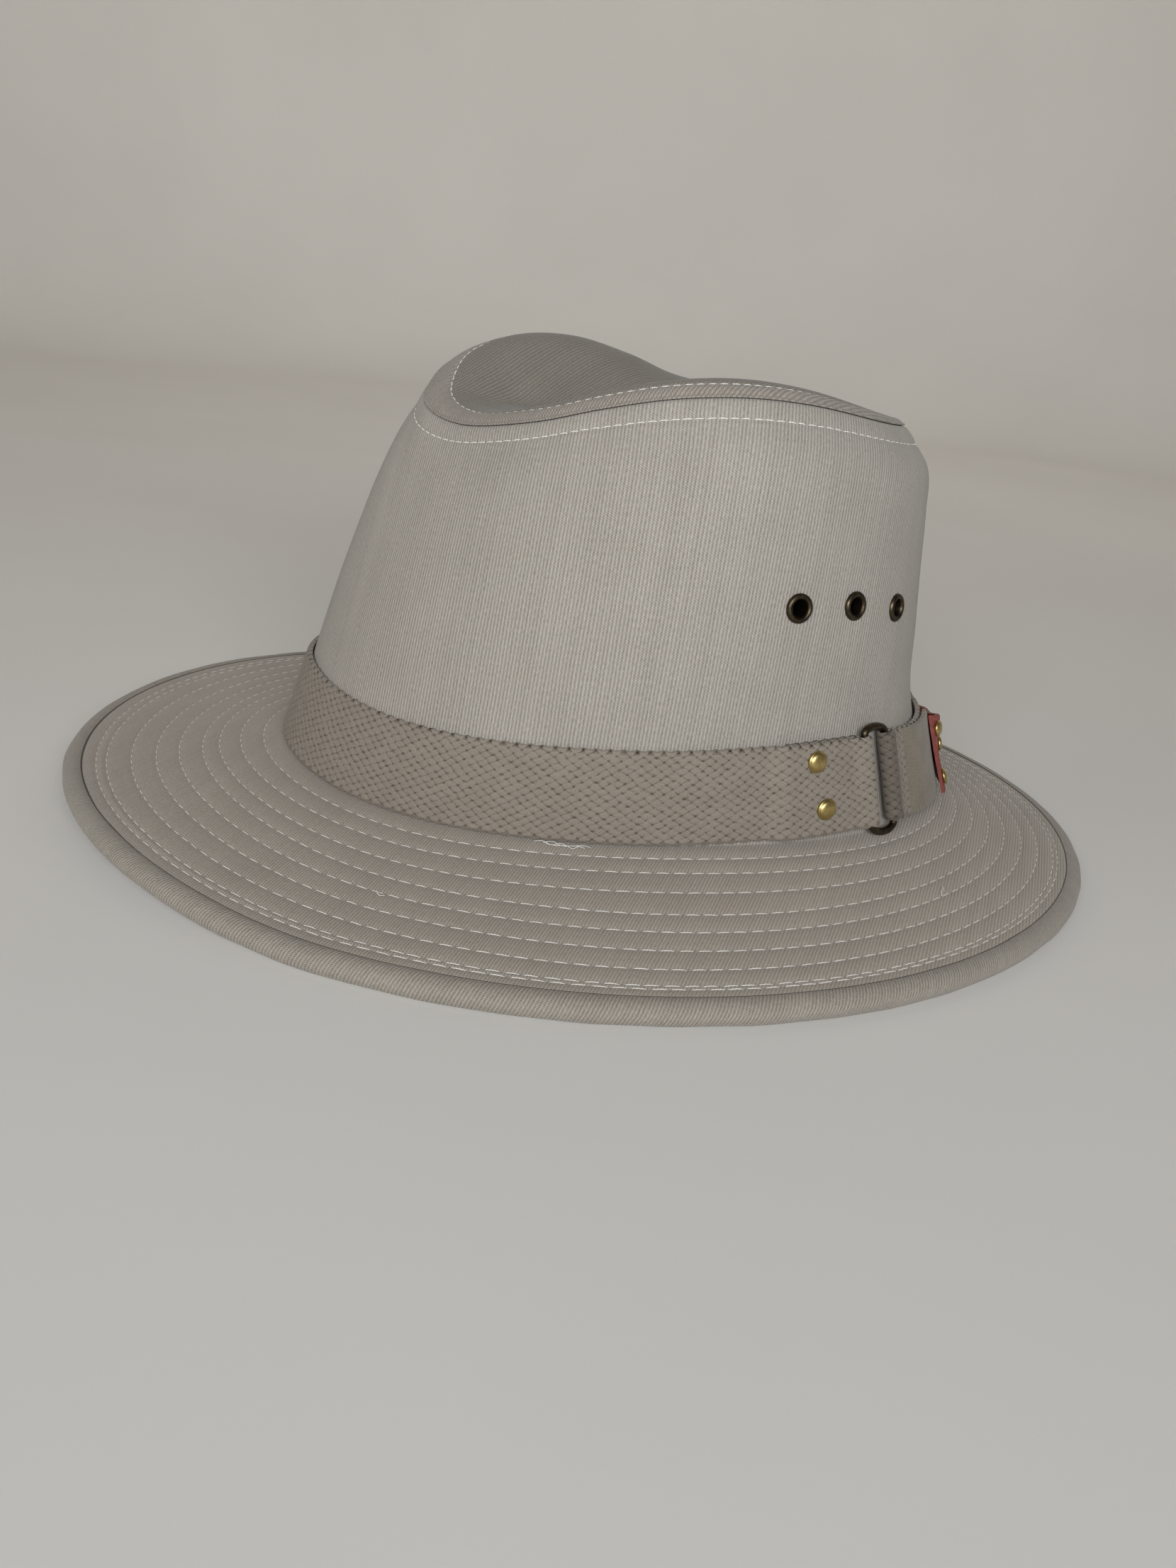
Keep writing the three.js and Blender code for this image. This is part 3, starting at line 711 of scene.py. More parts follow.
def felted_look(name, low, middle, high):
    """The plain side of the webbing: close yarns worn fuzzy"""
    look = Look(name)
    uv = look.uv()
    along, up = look.split(uv)
    ribs = look.wave(look.sum((along, 1 / 1.05), (up, 0.08)))
    fuzz = look.noise(look.scaled(uv, 1.4, 2.2), 1.0, 4.0, 0.65)
    mottle = look.noise(look.scaled(uv, 0.12, 0.12), 1.0, 2.0)
    tone = look.sum((ribs, 0.12), (fuzz, 0.75), (mottle, 0.2))
    look.paint(tone, (0.25, low), (0.5, middle), (0.8, high))
    look.bump(look.sum((ribs, 0.25), (fuzz, 0.7)), 0.5, 0.3)
    return look.constants(Roughness=0.97, Specular_IOR_Level=0.1, Sheen_Weight=0.2)


def thread_look(name, low, high):
    """Plied cotton thread"""
    look = Look(name)
    along, turn = look.split(look.uv())
    ply = look.wave(look.sum((along, 1 / 0.75), (turn, 1.0)))
    fibres = look.noise(look.object_place(), 2200.0)
    tone = look.sum((ply, 0.6), (fibres, 0.5))
    look.paint(tone, (0.1, low), (0.8, high))
    look.bump(ply, 0.7, 0.12)
    return look.constants(Roughness=0.6, Specular_IOR_Level=0.3, Sheen_Weight=0.2)


def leather_look(name, dark, middle, light, grain):
    """Leather with a pebbled grain, darker in its pores"""
    look = Look(name)
    place = look.uv()
    inputs = {"Vector": place, "Scale": grain}
    cells = look.node("TexVoronoi", inputs, feature="DISTANCE_TO_EDGE").outputs["Distance"]
    pores = look.span(cells, 0.0, 0.25)
    mottle = look.noise(place, 0.35, 4.0, 0.6)
    tone = look.sum((pores, 0.35), (mottle, 0.75))
    look.paint(tone, (0.2, dark), (0.6, middle), (0.95, light))
    look.put(look.shader.inputs["Roughness"], look.span(mottle, 1.4, -0.6))
    look.bump(look.sum((pores, 0.7), (mottle, 0.3)), 0.35, 0.2)
    return look.constants(Specular_IOR_Level=0.4)


def metal_look(name, dark, bright, smoothest, roughest, patches):
    """Brass with tarnish in patches, fine scratches and handling marks"""
    look = Look(name)
    place = look.object_place()
    tarnish = look.noise(place, patches, 4.0, 0.6)
    scratches = look.noise(look.scaled(place, 900, 900, 5200), 1.0, 2.0, 0.7)
    tone = look.sum((tarnish, 0.8), (scratches, 0.3))
    look.paint(tone, (0.3, dark), (0.75, bright))
    look.put(look.shader.inputs["Roughness"], look.span(tone, 0.3, 0.8, roughest, smoothest))
    look.bump(scratches, 0.15, 0.05)
    return look.constants(Metallic=1.0)


def floor_look(name, low, high):
    look = Look(name)
    patches = look.noise(look.object_place(), 3.0, 3.0)
    look.paint(patches, (0.3, low), (0.7, high))
    return look.constants(Roughness=0.9, Specular_IOR_Level=0.1)


TWILL = twill_look("twill", (118, 112, 103), (161, 154, 145), (194, 187, 179), 1.1, 0.0, 0.26)
# Brim twill: finer ribs than the wall twill, and a lighter tone that is painted light falling on the brim
# from above
BRIM_TWILL_PAINTED_LIGHT = twill_look("brim_twill_painted_light", (131, 122, 112), (164, 155, 144), (191, 182, 170), 0.9, 0.0, 0.28)
# Seam twill: a darker copy of the wall twill, painted shade on the strip of the tip by the seam, its lip and
# its underside
SEAM_TWILL_PAINTED_SHADE = twill_look("seam_twill_painted_shade", (109, 102, 93), (148, 140, 131), (178, 171, 162), 1.1, 0.0, 0.26)
# Tip twill: a darker copy of the wall twill, painted shade over the dish of the tip
TIP_TWILL_PAINTED_SHADE = twill_look("tip_twill_painted_shade", (98, 92, 84), (126, 119, 110), (150, 143, 133), 1.0, 0.0, 0.22)
BINDING = twill_look("binding", (110, 102, 92), (152, 144, 134), (182, 174, 163), 1.0, 0.35, 0.32)
# A darker copy of the binding: painted shade along the crease where the brim meets the roll
BINDING_CREASE_SHADE = twill_look("binding_painted_crease_shade", (52, 46, 40), (78, 71, 63), (102, 94, 85), 1.0, 0.35, 0.32)
WEBBING = webbing_look("webbing", (54, 48, 41), (113, 104, 93), (151, 142, 131))
# A darker copy of the webbing: painted shade in the fold round the back bar of the ring
WEBBING_FOLD_SHADE = webbing_look("webbing_painted_fold_shade", (36, 32, 27), (84, 76, 68), (118, 109, 99))
PLAIN_WEBBING = felted_look("plain_webbing", (66, 58, 47), (116, 106, 91), (152, 142, 124))
THREAD = thread_look("thread", (196, 191, 183), (246, 243, 237))
LEATHER = leather_look("leather", (92, 36, 32), (138, 60, 52), (165, 82, 70), 1.6)
CUT_LEATHER = leather_look("cut_leather", (94, 43, 39), (130, 62, 56), (158, 90, 81), 2.6)
BRASS = metal_look("brass", (176, 152, 94), (212, 190, 130), 0.28, 0.42, 700.0)
DARK_BRASS = metal_look("antique_brass", (34, 30, 26), (98, 86, 68), 0.3, 0.55, 420.0)


# Crown wall

def seam_lift(place):
    """Lift of the cloth beside the seam: place is 0 at the seam and 1 at the topstitch"""
    places, lifts = zip(*SEAM_PUFF)
    return np.interp(place, places, lifts)


def wall_parts(turn):
    """Rows of the wall from the foot up, close together near the seam"""
    height = wall_height(turn)[:, None]
    fine = np.arange(FINE_BAND, 0, -FINE_STEP)
    low = np.linspace(0, 1, WALL_ROWS, endpoint=False) * (1 - FINE_BAND / height)
    return np.concatenate([low, 1 - fine / height], 1)


def eyelet_places():
    for name, side in SIDES.items():
        for k, (turn, up) in enumerate(EYELETS):
            place = on_wall(side * turn, up, 0)
            yield f"eyelet_{name}_{k + 1}", place, unit(on_wall(side * turn, up, 1) - place)


def wall_skin(turn, parts):
    """Outside of the wall with its seam, its slow waves and a dimple at each eyelet"""
    turn = turn[:, None]
    normal = wall_normal(turn, parts)
    distance = (1 - parts) * wall_height(turn)
    raised = SEAM_RAISE.rise * (1 - smooth(distance / SEAM_RAISE.reach))
    base = wall_point(turn, parts) + times(UP, raised)
    calm = smooth(parts / WALL_CALM.foot_part) * smooth(distance / WALL_CALM.seam)
    lift = seam_lift(distance / WALL_TOPSTITCH) + calm * wander(turn, parts, **WALL_WAVE)
    for _, place, _ in eyelet_places():
        lift = lift - bell(np.linalg.norm(base - place, axis=-1), **EYELET_DIMPLE)
    return base + times(normal, lift), normal


def wall_uv(grid):
    """Each half of the wall is cut with its ribs upright at the middle of its side"""
    columns, rows = grid.shape[:2]
    walk = walked(closed(grid))
    up = walked(grid.swapaxes(0, 1)).T

    def uv(i, j):
        j = j % rows
        middle = np.where(i[:, :1] < columns // 2, columns // 4, columns * 3 // 4)
        return np.stack([walk[i, j] - walk[middle, j], up[i % columns, j]], -1)

    return uv


def crown_wall():
    turn = turns(WALL_COLUMNS)
    parts = wall_parts(turn)
    outer, normal = wall_skin(turn, parts)
    inner_place = turn[:, None], parts[:, ::INNER_STEP]
    inner = wall_point(*inner_place) - times(wall_normal(*inner_place), WALL_THICK)
    outward = seam_outward(turn)
    tuck = [outer[:, -1] - outward * back + UP * rise for back, rise in SEAM_TUCK]
    loop = np.concatenate([outer, np.stack(tuck, 1), inner[:, ::-1]], 1)
    patch = grid_patch(loop, wall_uv(loop), True, True)
    piece = new_piece("crown_wall_cloth", [patch], [TWILL], ["crown_wall"])
    cut_holes(piece)
    stitch_row = int(np.argmin(np.abs((1 - parts[0]) * wall_height(turn[:1]) - WALL_TOPSTITCH)))
    return outer[:, stitch_row], normal[:, stitch_row]


def cut_holes(piece):
    """Cuts the vent holes through the cloth"""
    reach = WALL_THICK * 3
    bore = [(EYELET.bore, -reach), (EYELET.bore, reach)]
    plugs = [turned_patch(bore, HOLE_SIDES, place, normal) for _, place, normal in eyelet_places()]
    cutter = new_solid("vent_plugs", plugs, [TWILL], sharp_angle=30)
    cut = piece.modifiers.new("vents", "BOOLEAN")
    cut.object = cutter
    cut.operation = "DIFFERENCE"
    cut.solver = "EXACT"
    bpy.context.view_layer.update()
    ready = piece.evaluated_get(bpy.context.evaluated_depsgraph_get())
    cut_mesh = bpy.data.meshes.new_from_object(ready)
    piece.modifiers.clear()
    piece.data = cut_mesh
    bpy.data.objects.remove(cutter)


# Crown tip

def tip_point(turn, edge, dip):
    """From the seam (edge 0) up to the ridge (edge 1, dip 0), then down to the crease (dip 1)"""
    turn, edge, dip = alike(turn, edge, dip)
    seam = seam_point(turn)
    cos = np.cos(np.radians(turn))
    rise = blend(CREASE.back_rise, CREASE.front_rise, (1 + cos) / 2)
    crease = points_of(CREASE.x, CREASE.middle - CREASE.half_length * cos, JOIN_HEIGHT + rise)
    length = np.linalg.norm((crease - seam)[..., :2], axis=-1)
    ridge_part = np.minimum(RIDGE_LIMIT, RIDGE_INSET / length)
    ridge = seam[..., 2] + around(turn, **RIDGE_RISE)
    point = seam + times(crease - seam, ridge_part * edge + (1 - ridge_part) * dip)
    climb = seam[..., 2] + (ridge - seam[..., 2]) * np.sin(math.pi / 2 * edge)
    point[..., 2] = climb + (crease[..., 2] - ridge) * smooth(dip)
    return point


def tip_topstitch(turn):
    """Distance of the topstitch from the seam, wider at the front"""
    from_front = np.abs(np.mod(turn + 180, 360) - 180)
    nearness = smooth(1 - from_front / TIP_TOPSTITCH.reach)
    return blend(TIP_TOPSTITCH.side, TIP_TOPSTITCH.front, nearness)


def tip_inset(edge, dip):
    """About how far a place on the tip is from the seam"""
    return RIDGE_INSET * edge + CREASE_REACH * dip


def tip_skin(turn, edge, dip):
    """Top of the tip with its seam and its slow waves, the plain shape under it and its normals"""
    base = tip_point(turn, edge, dip)
    normal = -grid_normals(base)
    normal[:, -1] = UP
    normal = unit(np.where(normal[..., 2:] < 0, -normal, normal))
    inset = tip_inset(edge, dip)
    puff = np.where(inset < TIP_FOLD.reach, TIP_FOLD.lift, seam_lift(inset / tip_topstitch(turn)))
    calm = smooth(dip / TIP_CALM.ridge_part) * smooth((1 - dip) / TIP_CALM.crease_part)
    lift = puff + calm * wander(turn, dip, **TIP_WAVE)
    return base + times(normal, lift), base, normal


def crown_tip():
    turn = turns(TIP_COLUMNS)[:, None]
    edge = np.concatenate([np.arange(0, 1, FINE_STEP / RIDGE_INSET), np.ones(CREASE_ROWS)])
    dip = np.concatenate([np.zeros(len(edge) - CREASE_ROWS), np.linspace(0, 1, CREASE_ROWS)])
    top, base, _ = tip_skin(turn, edge[None], dip[None])
    outward = seam_outward(turn[:, 0])
    lip = [top[:, 0] + outward * out - UP * down for out, down in SEAM_LIP]
    last = base.shape[1] - 1
    under_rows = [*range(UNDER_ROWS.start, last, UNDER_ROWS.step), last]
    under = base[:, under_rows] - UP * TIP_THICK
    loop = np.concatenate([under[:, ::-1], np.stack(lip, 1), top], 1)
    patch = grid_patch(loop, flat_uv(loop, TIP_RIBS), True, False)
    row_inset = np.concatenate([np.zeros(loop.shape[1] - len(edge)), tip_inset(edge, dip)])
    # Past the topstitch the tip takes the tip twill, painted shade over its dish; the seam strip, lip and
    # underside take the seam twill, a lighter step of the same painted shade
    patch["finish"] = (row_inset[None, :-1] >= tip_topstitch(turn)).ravel().astype(int)
    new_piece("crown_tip_cloth", [patch], [SEAM_TWILL_PAINTED_SHADE, TIP_TWILL_PAINTED_SHADE], ["crown_tip"])
    stitch_edge = tip_topstitch(turn) / RIDGE_INSET + np.array(STITCH_STRIP)
    rail, _, normal = tip_skin(turn, stitch_edge, np.zeros((1, 1)))
    return rail[:, 1], normal[:, 1]


# Brim with its rows of stitching, and the padded roll round it

def brim_parts(turn):
    """Rows of the brim from the wall to the roll, with a row of points on each row of stitching"""
    stitched = [around(turn, *row) for row in BRIM_ROWS]
    lines = [np.zeros_like(turn), *stitched, np.full_like(turn, BRIM_END_PART)]
    rows = [blend(start, end, part) for start, end in zip(lines, lines[1:]) for part in ROW_FRACTIONS]
    return np.stack([*rows, lines[-1]], 1), np.stack(stitched, 1)


def brim_skin(turn, parts, rows, depth, facing):
    """One face of the brim, pulled in along each row of stitching"""
    start = on_wall(turn, -depth, GAP)
    end = rim_point(turn) + UP * (BRIM_THICK / 2 - depth)
    width = np.linalg.norm(end - start, axis=-1)
    skin = start[:, None] + times((end - start)[:, None], parts)
    away = np.min(np.abs(parts[..., None] - rows[:, None]), axis=-1) * width[:, None]
    puff = BRIM_PUFF.rise * smooth(away / BRIM_PUFF.reach) - bell(away, **STITCH_VALLEY)
    wave = 4 * parts * (1 - parts) * wander(turn[:, None], parts, **BRIM_WAVE)
    climb = BRIM_EDGE.rise * smooth(1 - (1 - parts) * width[:, None] / BRIM_EDGE.reach)
    return skin + times(UP, wave + facing * puff + max(facing, 0) * climb)


def brim():
    turn = turns(BRIM_COLUMNS)
    parts, rows = brim_parts(turn)
    top = brim_skin(turn, parts, rows, 0, 1)
    under = brim_skin(turn, parts, rows, BRIM_THICK, -1)
    loop = np.concatenate([top, under[:, ::-1]], 1)
    cloth = grid_patch(loop, flat_uv(loop, BRIM_RIBS), True, True)
    # The brim's lighter twill is painted light from above
    new_piece("brim_cloth", [cloth], [BRIM_TWILL_PAINTED_LIGHT], ["brim"])
    step = len(ROW_FRACTIONS)
    places = [step * (k + 1) for k in range(len(BRIM_ROWS))]
    up_normals = np.tile(UP, (BRIM_COLUMNS, 1))
    sideways = np.sin(np.radians(turn)) ** 2
    fullness = blend(STITCH_FULLNESS.ends, STITCH_FULLNESS.side, sideways)
    over = []
    for k in places:
        over += stitches(top[:, k], up_normals, BRIM_STITCH, fullness)
    below = []
    for k in places:
        below += stitches(under[:, k], -up_normals, BRIM_STITCH, fullness, sides=5, rings=5)
    new_piece("brim_stitching_top", over + thread_tails(), [THREAD])
    new_piece("brim_stitching_under", below, [THREAD])


def thread_tails():
    """Loose ends of thread left on the brim: turn and part of the way out along each"""
    tails = [
        [(76.6, 0.03), (78.2, 0.034), (80, 0.06), (82, 0.045), (84.2, 0.06)],
        [(77.4, 0.02), (78.6, 0.05), (80.6, 0.04), (82.6, 0.066), (83.6, 0.05)],
        [(78, 0.034), (79.6, 0.03), (81.4, 0.06), (83, 0.04), (85, 0.052)],
        [(134.9, 0.515), (134.5, 0.54), (133.6, 0.55), (133, 0.575)],
        [(61.5, 0.563), (62, 0.59), (63, 0.595)],
    ]
    patches = []
    for tail in tails:
        turn, part = np.array(tail).T
        fine = np.linspace(0, len(tail) - 1, TAIL.points)
        turn, part = (np.interp(fine, range(len(tail)), column) for column in (turn, part))
        start = on_wall(turn, 0, GAP)
        end = rim_point(turn) + UP * BRIM_THICK / 2
        lift = TAIL.lift + TAIL.hop * np.abs(np.sin(fine * TAIL.hops))
        path = start + times(end - start, part) + times(UP, lift)
        patches.append(thread_tube(path, TAIL.radius, TAIL.sides))
    return patches


def brim_roll():
    turn = turns(ROLL_COLUMNS)
    centre = rim_point(turn)
    inward = unit(oval_point(turn, 0, join_height(turn)) - centre)
    upward = unit(UP - times(inward, inward @ UP))
    angle = circle(ROLL_SIDES)
    lumps = wander(turn[:, None], angle, **ROLL_WAVE) * (1 - np.abs(np.cos(angle / 2)) ** 3)
    radius = ROLL_RADIUS + lumps
    rise = radius * np.sin(angle) * np.where(np.sin(angle) > 0, ROLL_FLATNESS, 1)
    grid = centre[:, None] + times(inward[:, None], radius * np.cos(angle)) + times(upward[:, None], rise)
    height = np.maximum(grid[..., 2], 0)
    pressed = height / 2 + height ** 2 / (4 * ROLL_SETTLE)
    grid[..., 2] = np.where(height < 2 * ROLL_SETTLE, pressed, height)
    walk = walked(closed(centre))

    def uv(i, j):
        return np.stack([walk[i], ROLL_RADIUS * 2 * math.pi * j / ROLL_SIDES], -1)

    patch = grid_patch(grid, uv, True, True)
    # The inner side of the roll by the brim takes the darker binding: painted shade in the crease
    crease_shade = np.degrees(angle) < CREASE_SHADE_ANGLE
    patch["finish"] = np.tile(crease_shade, ROLL_COLUMNS).astype(int)
    piece = new_piece("brim_roll", [patch], [BINDING, BINDING_CREASE_SHADE], ["brim_binding"])


# Webbing band, folded round both bars of the ring

INNER_OUT = GAP + WEB_THICK / 2
FOLD_RADIUS = WIRE_RADIUS + GAP + WEB_THICK / 2
OUTER_OUT = INNER_OUT + WEB_THICK + GAP
BAR_OUT = INNER_OUT + FOLD_RADIUS
RING_WALK = walk_at(RING.turn)
BACK_WALK = walk_at(180)
FRONT_BAR = RING_WALK - RING.bar_spacing / 2
BACK_BAR = RING_WALK + RING.bar_spacing / 2 - ROUND


def fold_points(bar, side):
    """Half round a bar of the ring: the webbing is pressed thin there and lies close to the wire"""
    radius = WIRE_RADIUS + FOLD_CLEARANCE + FOLD_SQUEEZE * WEB_THICK / 2
    angle = np.linspace(0, math.pi, FOLD_STEPS)
    return list(zip(bar + side * radius * np.sin(angle), BAR_OUT - radius * np.cos(angle)))


def web_path():
    """Middle line of the webbing as walk round the hat and distance off the wall, in even steps"""
    corners = [
        (FRONT_BAR - RETURN_LENGTH, INNER_OUT),
        (FRONT_BAR - STEP_LENGTH, INNER_OUT),
        *fold_points(FRONT_BAR, 1),
        (FRONT_BAR - STEP_LENGTH, OUTER_OUT),
        (FRONT_BAR - RETURN_LENGTH - GAP, OUTER_OUT),
        (FRONT_BAR - RETURN_LENGTH - STEP_LENGTH, INNER_OUT),
        (BACK_BAR + STEP_LENGTH, INNER_OUT),
        *fold_points(BACK_BAR, -1),
        (BACK_BAR + STEP_LENGTH, OUTER_OUT),
        (BACK_BAR + TAIL_LENGTH, OUTER_OUT),
    ]
    part = np.linspace(0, 1, RUN_STEPS, endpoint=False)
    runs = []
    for (walk, out), (next_walk, next_out) in zip(corners, corners[1:]):
        runs.append(np.stack([blend(walk, next_walk, part), blend(out, next_out, smooth(part))], 1))
    path = np.concatenate([*runs, [corners[-1]]])
    length = walked(path)
    even = np.arange(0, length[-1], WEAVE.along / WEAVE.columns)
    return even, np.interp(even, length, path[:, 0]), np.interp(even, length, path[:, 1])


def ring_pull(walk):
    """How much a place on the webbing is under the pull of the ring: 1 at the ring, 0 away from it"""
    past = np.mod(walk - RING_WALK + ROUND / 2, ROUND) - ROUND / 2
    return 1 - smooth(np.where(past > 0, past / RING_LIFT.back_reach, -past / RING_LIFT.front_reach))


def on_web(walk, up, out):
    """A place on the webbing: up is measured from its lower edge, which rides up towards the ring"""
    pull = ring_pull(walk)
    skew = RING_SKEW * (up - WEB_HEIGHT / 2) * pull
    return on_wall(turn_at(walk - skew), WEB_LIFT + RING_LIFT.rise * pull + up, out)


def ripple(along, up, amount, waves):
    return amount * sum(np.sin(by_along * along + by_up * up + start) for by_along, by_up, start in waves)


def web_place(along, up):
    """Place in the weave, uneven by a fraction of a lozenge"""
    inside = smooth(np.minimum(up, WEB_HEIGHT - up) / DRIFT_REACH)
    return along + ripple(along, up, **WEB_SWAY), up + ripple(along, up, **WEB_DRIFT) * inside


def web_lozenges(along, up):
    """Height of the weave: 1 on each lozenge and 0 on the lines between them"""
    u, v = along / WEAVE.along, up / WEAVE.up
    leans = np.cos(2 * math.pi * (u + v)), np.cos(2 * math.pi * (u - v))
    lines = smooth((np.minimum(*leans) + 1) / WEAVE.groove)
    meetings = smooth((np.maximum(*leans) + 1) / WEAVE.meeting)
    return blend(meetings, lines, LINE_SHARE)


def web_shell(even, walk, out, fine_side, woven):
    """A length of webbing: its fine side has woven lozenges where woven is 1 and is plain where it is 0"""
    ahead = unit(np.stack([np.gradient(walk), np.gradient(out)], 1))
    step = WEAVE.up / WEAVE.rows
    fine_up = np.linspace(0, WEB_HEIGHT, round(WEB_HEIGHT / step) + 1)
    up = np.concatenate([fine_up, np.linspace(WEB_HEIGHT, 0, PLAIN_ROWS)])
    fine = np.arange(len(up)) < len(fine_up)
    to_edge = np.minimum(up, WEB_HEIGHT - up)
    rounding = blend(WEB_EDGE.thickness, 1, smooth(to_edge / WEB_EDGE.reach))
    place = np.stack(web_place(even[:, None], up[None]), -1)
    rise = (web_lozenges(place[..., 0], place[..., 1]) - LOZENGE_SEAT) * WEAVE.rise * woven[:, None]
    to_bar = np.minimum(np.abs(walk - FRONT_BAR), np.abs(walk - BACK_BAR))
    squeeze = blend(FOLD_SQUEEZE, 1, smooth(to_bar / STEP_LENGTH))
    half = WEB_THICK / 2 * squeeze[:, None] * rounding
    amount = np.where(fine, fine_side, -fine_side) * half + np.where(fine, fine_side * rise, 0)
    bite = WEB_EDGE.bite * np.cos(2 * math.pi * even[:, None] / SELVEDGE.dash)
    edge_bite = bite * (to_edge < WEB_EDGE.bite)
    grid = on_web(
        walk[:, None] - ahead[:, 1:] * amount,
        np.broadcast_to(up, amount.shape) + edge_bite * np.where(up > WEB_HEIGHT / 2, 1, -1),
        out[:, None] + ahead[:, :1] * amount,
    )
    rows = len(up)

    def uv(i, j):
        return place[i, j % rows]

    patch = capped_tube(grid, uv)
    # Faces near the back bar take the darker webbing, painted shade in the fold; the rest are woven or plain
    finish = np.where(np.abs(walk - BACK_BAR) < PAINTED_FOLD_SHADE, 2, woven < 0.5)
    patch["finish"] = np.concatenate([np.repeat(finish[1:], rows), finish[[0, -1]]])
    return patch


def hat_band():
    even, walk, out = web_path()
    split = int(np.argmax(walk < BACK_BAR + STEP_LENGTH))
    woven = 1 - smooth((even - even[split] - PLAIN_TAIL_START) / STEP_LENGTH)
    main = web_shell(even[:split + 1], walk[:split + 1], out[:split + 1], -1, woven[:split + 1])
    tail = web_shell(even[split:], walk[split:], out[split:], 1, woven[split:])
    materials = [WEBBING, PLAIN_WEBBING, WEBBING_FOLD_SHADE]
    new_piece("webbing_band", [main, tail], materials, ["hat_band"], sharp_angle=85)


def band_ring():
    half = RING.bar_spacing / 2
    middle = WEB_HEIGHT / 2
    centres = []
    for end, arch_rise in ((1, RING.top_rise), (-1, RING.bottom_rise)):
        for angle in np.linspace(0, math.pi, RING_STEPS.arch, endpoint=False):
            lift = end * (RING.bar_half + arch_rise * math.sin(angle))
            centres.append((end * half * math.cos(angle), lift))
        for part in np.linspace(1, -1, RING_STEPS.bar, endpoint=False):
            centres.append((-end * half, end * RING.bar_half * part))
    walk, up = np.array(centres).T
    points = on_web(RING_WALK + walk, middle + up, BAR_OUT)
    normal = unit(on_web(RING_WALK, middle, 1) - on_web(RING_WALK, middle, 0))
    along = unit(np.roll(points, -1, 0) - np.roll(points, 1, 0))
    sideways = unit(np.cross(along, normal))
    grid = points[:, None] + WIRE_RADIUS * spokes(RING_STEPS.wire, sideways[:, None], normal)
    patch = grid_patch(grid, index_uv(0.8, 0.5), True, True)
    new_piece("wire_ring", [patch], [DARK_BRASS], ["band_ring"])


# Leather patch at the back

def patch_point(along, up, extra):
    over_tail = smooth((along - PATCH_STEP.start) / PATCH_STEP.length)
    up_part = (up - PATCH.low) / PATCH.height
    end_part = (along / PATCH.half_width) ** 2
    curl = blend(PATCH_CURL.bottom, PATCH_CURL.top, up_part) * end_part
    dip = PATCH_DIP * up_part ** 2 * (1 - end_part)
    flare = smooth((up_part - PATCH_BOW.start) / (1 - PATCH_BOW.start))
    from_end = np.clip((PATCH.half_width - np.abs(along)) / PATCH_BOW.reach, 0, 1)
    bow = blend(PATCH_BOW.bottom, PATCH_BOW.top, flare) * np.sin(math.pi * from_end) ** 2
    seat = GAP + WEB_THICK + GAP + over_tail * (WEB_THICK + GAP)
    return on_wall(turn_at(BACK_WALK - along), up - dip, seat + curl + bow + extra)


def patch_normal(along, up):
    """Direction out of the leather"""
    across = patch_point(along - 1, up, PATCH.thick) - patch_point(along + 1, up, PATCH.thick)
    upward = patch_point(along, up + 1, PATCH.thick) - patch_point(along, up - 1, PATCH.thick)
    return unit(np.cross(across, upward))


def rim(grid):
    """Points once round the edge of a grid"""
    return np.concatenate([grid[:-1, 0], grid[-1, :-1], grid[:0:-1, -1], grid[0, :0:-1]])


def leather_patch():
    along = np.linspace(PATCH.half_width, -PATCH.half_width, PATCH_COLUMNS)[:, None]
    up = np.linspace(PATCH.low, PATCH.low + PATCH.height, PATCH_ROWS)[None]
    to_edge = np.minimum(PATCH.half_width - np.abs(along), PATCH.height / 2 - np.abs(up - np.mean(up)))
    near_edge = 1 - np.clip(to_edge / PATCH_WEAR.reach, 0, 1)
    worn = PATCH_WEAR.depth * (1 - np.sqrt(1 - near_edge ** 2 * PATCH_WEAR.roundest))
    dents = 0
    for rivet_along, rivet_up in PATCH_RIVETS.values():
        for side in SIDES.values():
            dents = dents + bell(np.hypot(along - side * rivet_along, up - rivet_up), **RIVET_DENT)
    outer = patch_point(along, up, PATCH.thick - worn - dents)
    inner = patch_point(along, up, PATCH_WEAR.inside_share * worn)

    def face_uv(i, j):
        return np.stack([along[i, 0], up[0, j]], -1)

    edge = np.stack([rim(outer), rim(inner)], 1)
    patches = [
        grid_patch(outer, face_uv),
        grid_patch(inner, face_uv),
        grid_patch(edge, index_uv(0.6, PATCH.thick), closed_columns=True, finish=1),
    ]
    new_piece("leather_tab", patches, [LEATHER, CUT_LEATHER], ["leather_patch"], sharp_angle=40)


# Rivets and eyelets

def rivet_profile(radius, height):
    """A low smooth dome with a thin rim"""
    shape = [
        (0.02, -0.1), (0.95, -0.1), (1, 0.1), (1, 0.3), (0.97, 0.42), (0.93, 0.46), (0.91, 0.5), (0.88, 0.62),
        (0.8, 0.74), (0.66, 0.86), (0.5, 0.93), (0.33, 0.975), (0.16, 0.995), (0.02, 1),
    ]
    return [(radius * reach, height * rise) for reach, rise in shape]


def add_rivet(name, size, place, normal):
    patch = turned_patch(rivet_profile(**size), RIVET_SIDES, place, normal)
    new_piece(name + "_dome", [patch], [BRASS], [name])


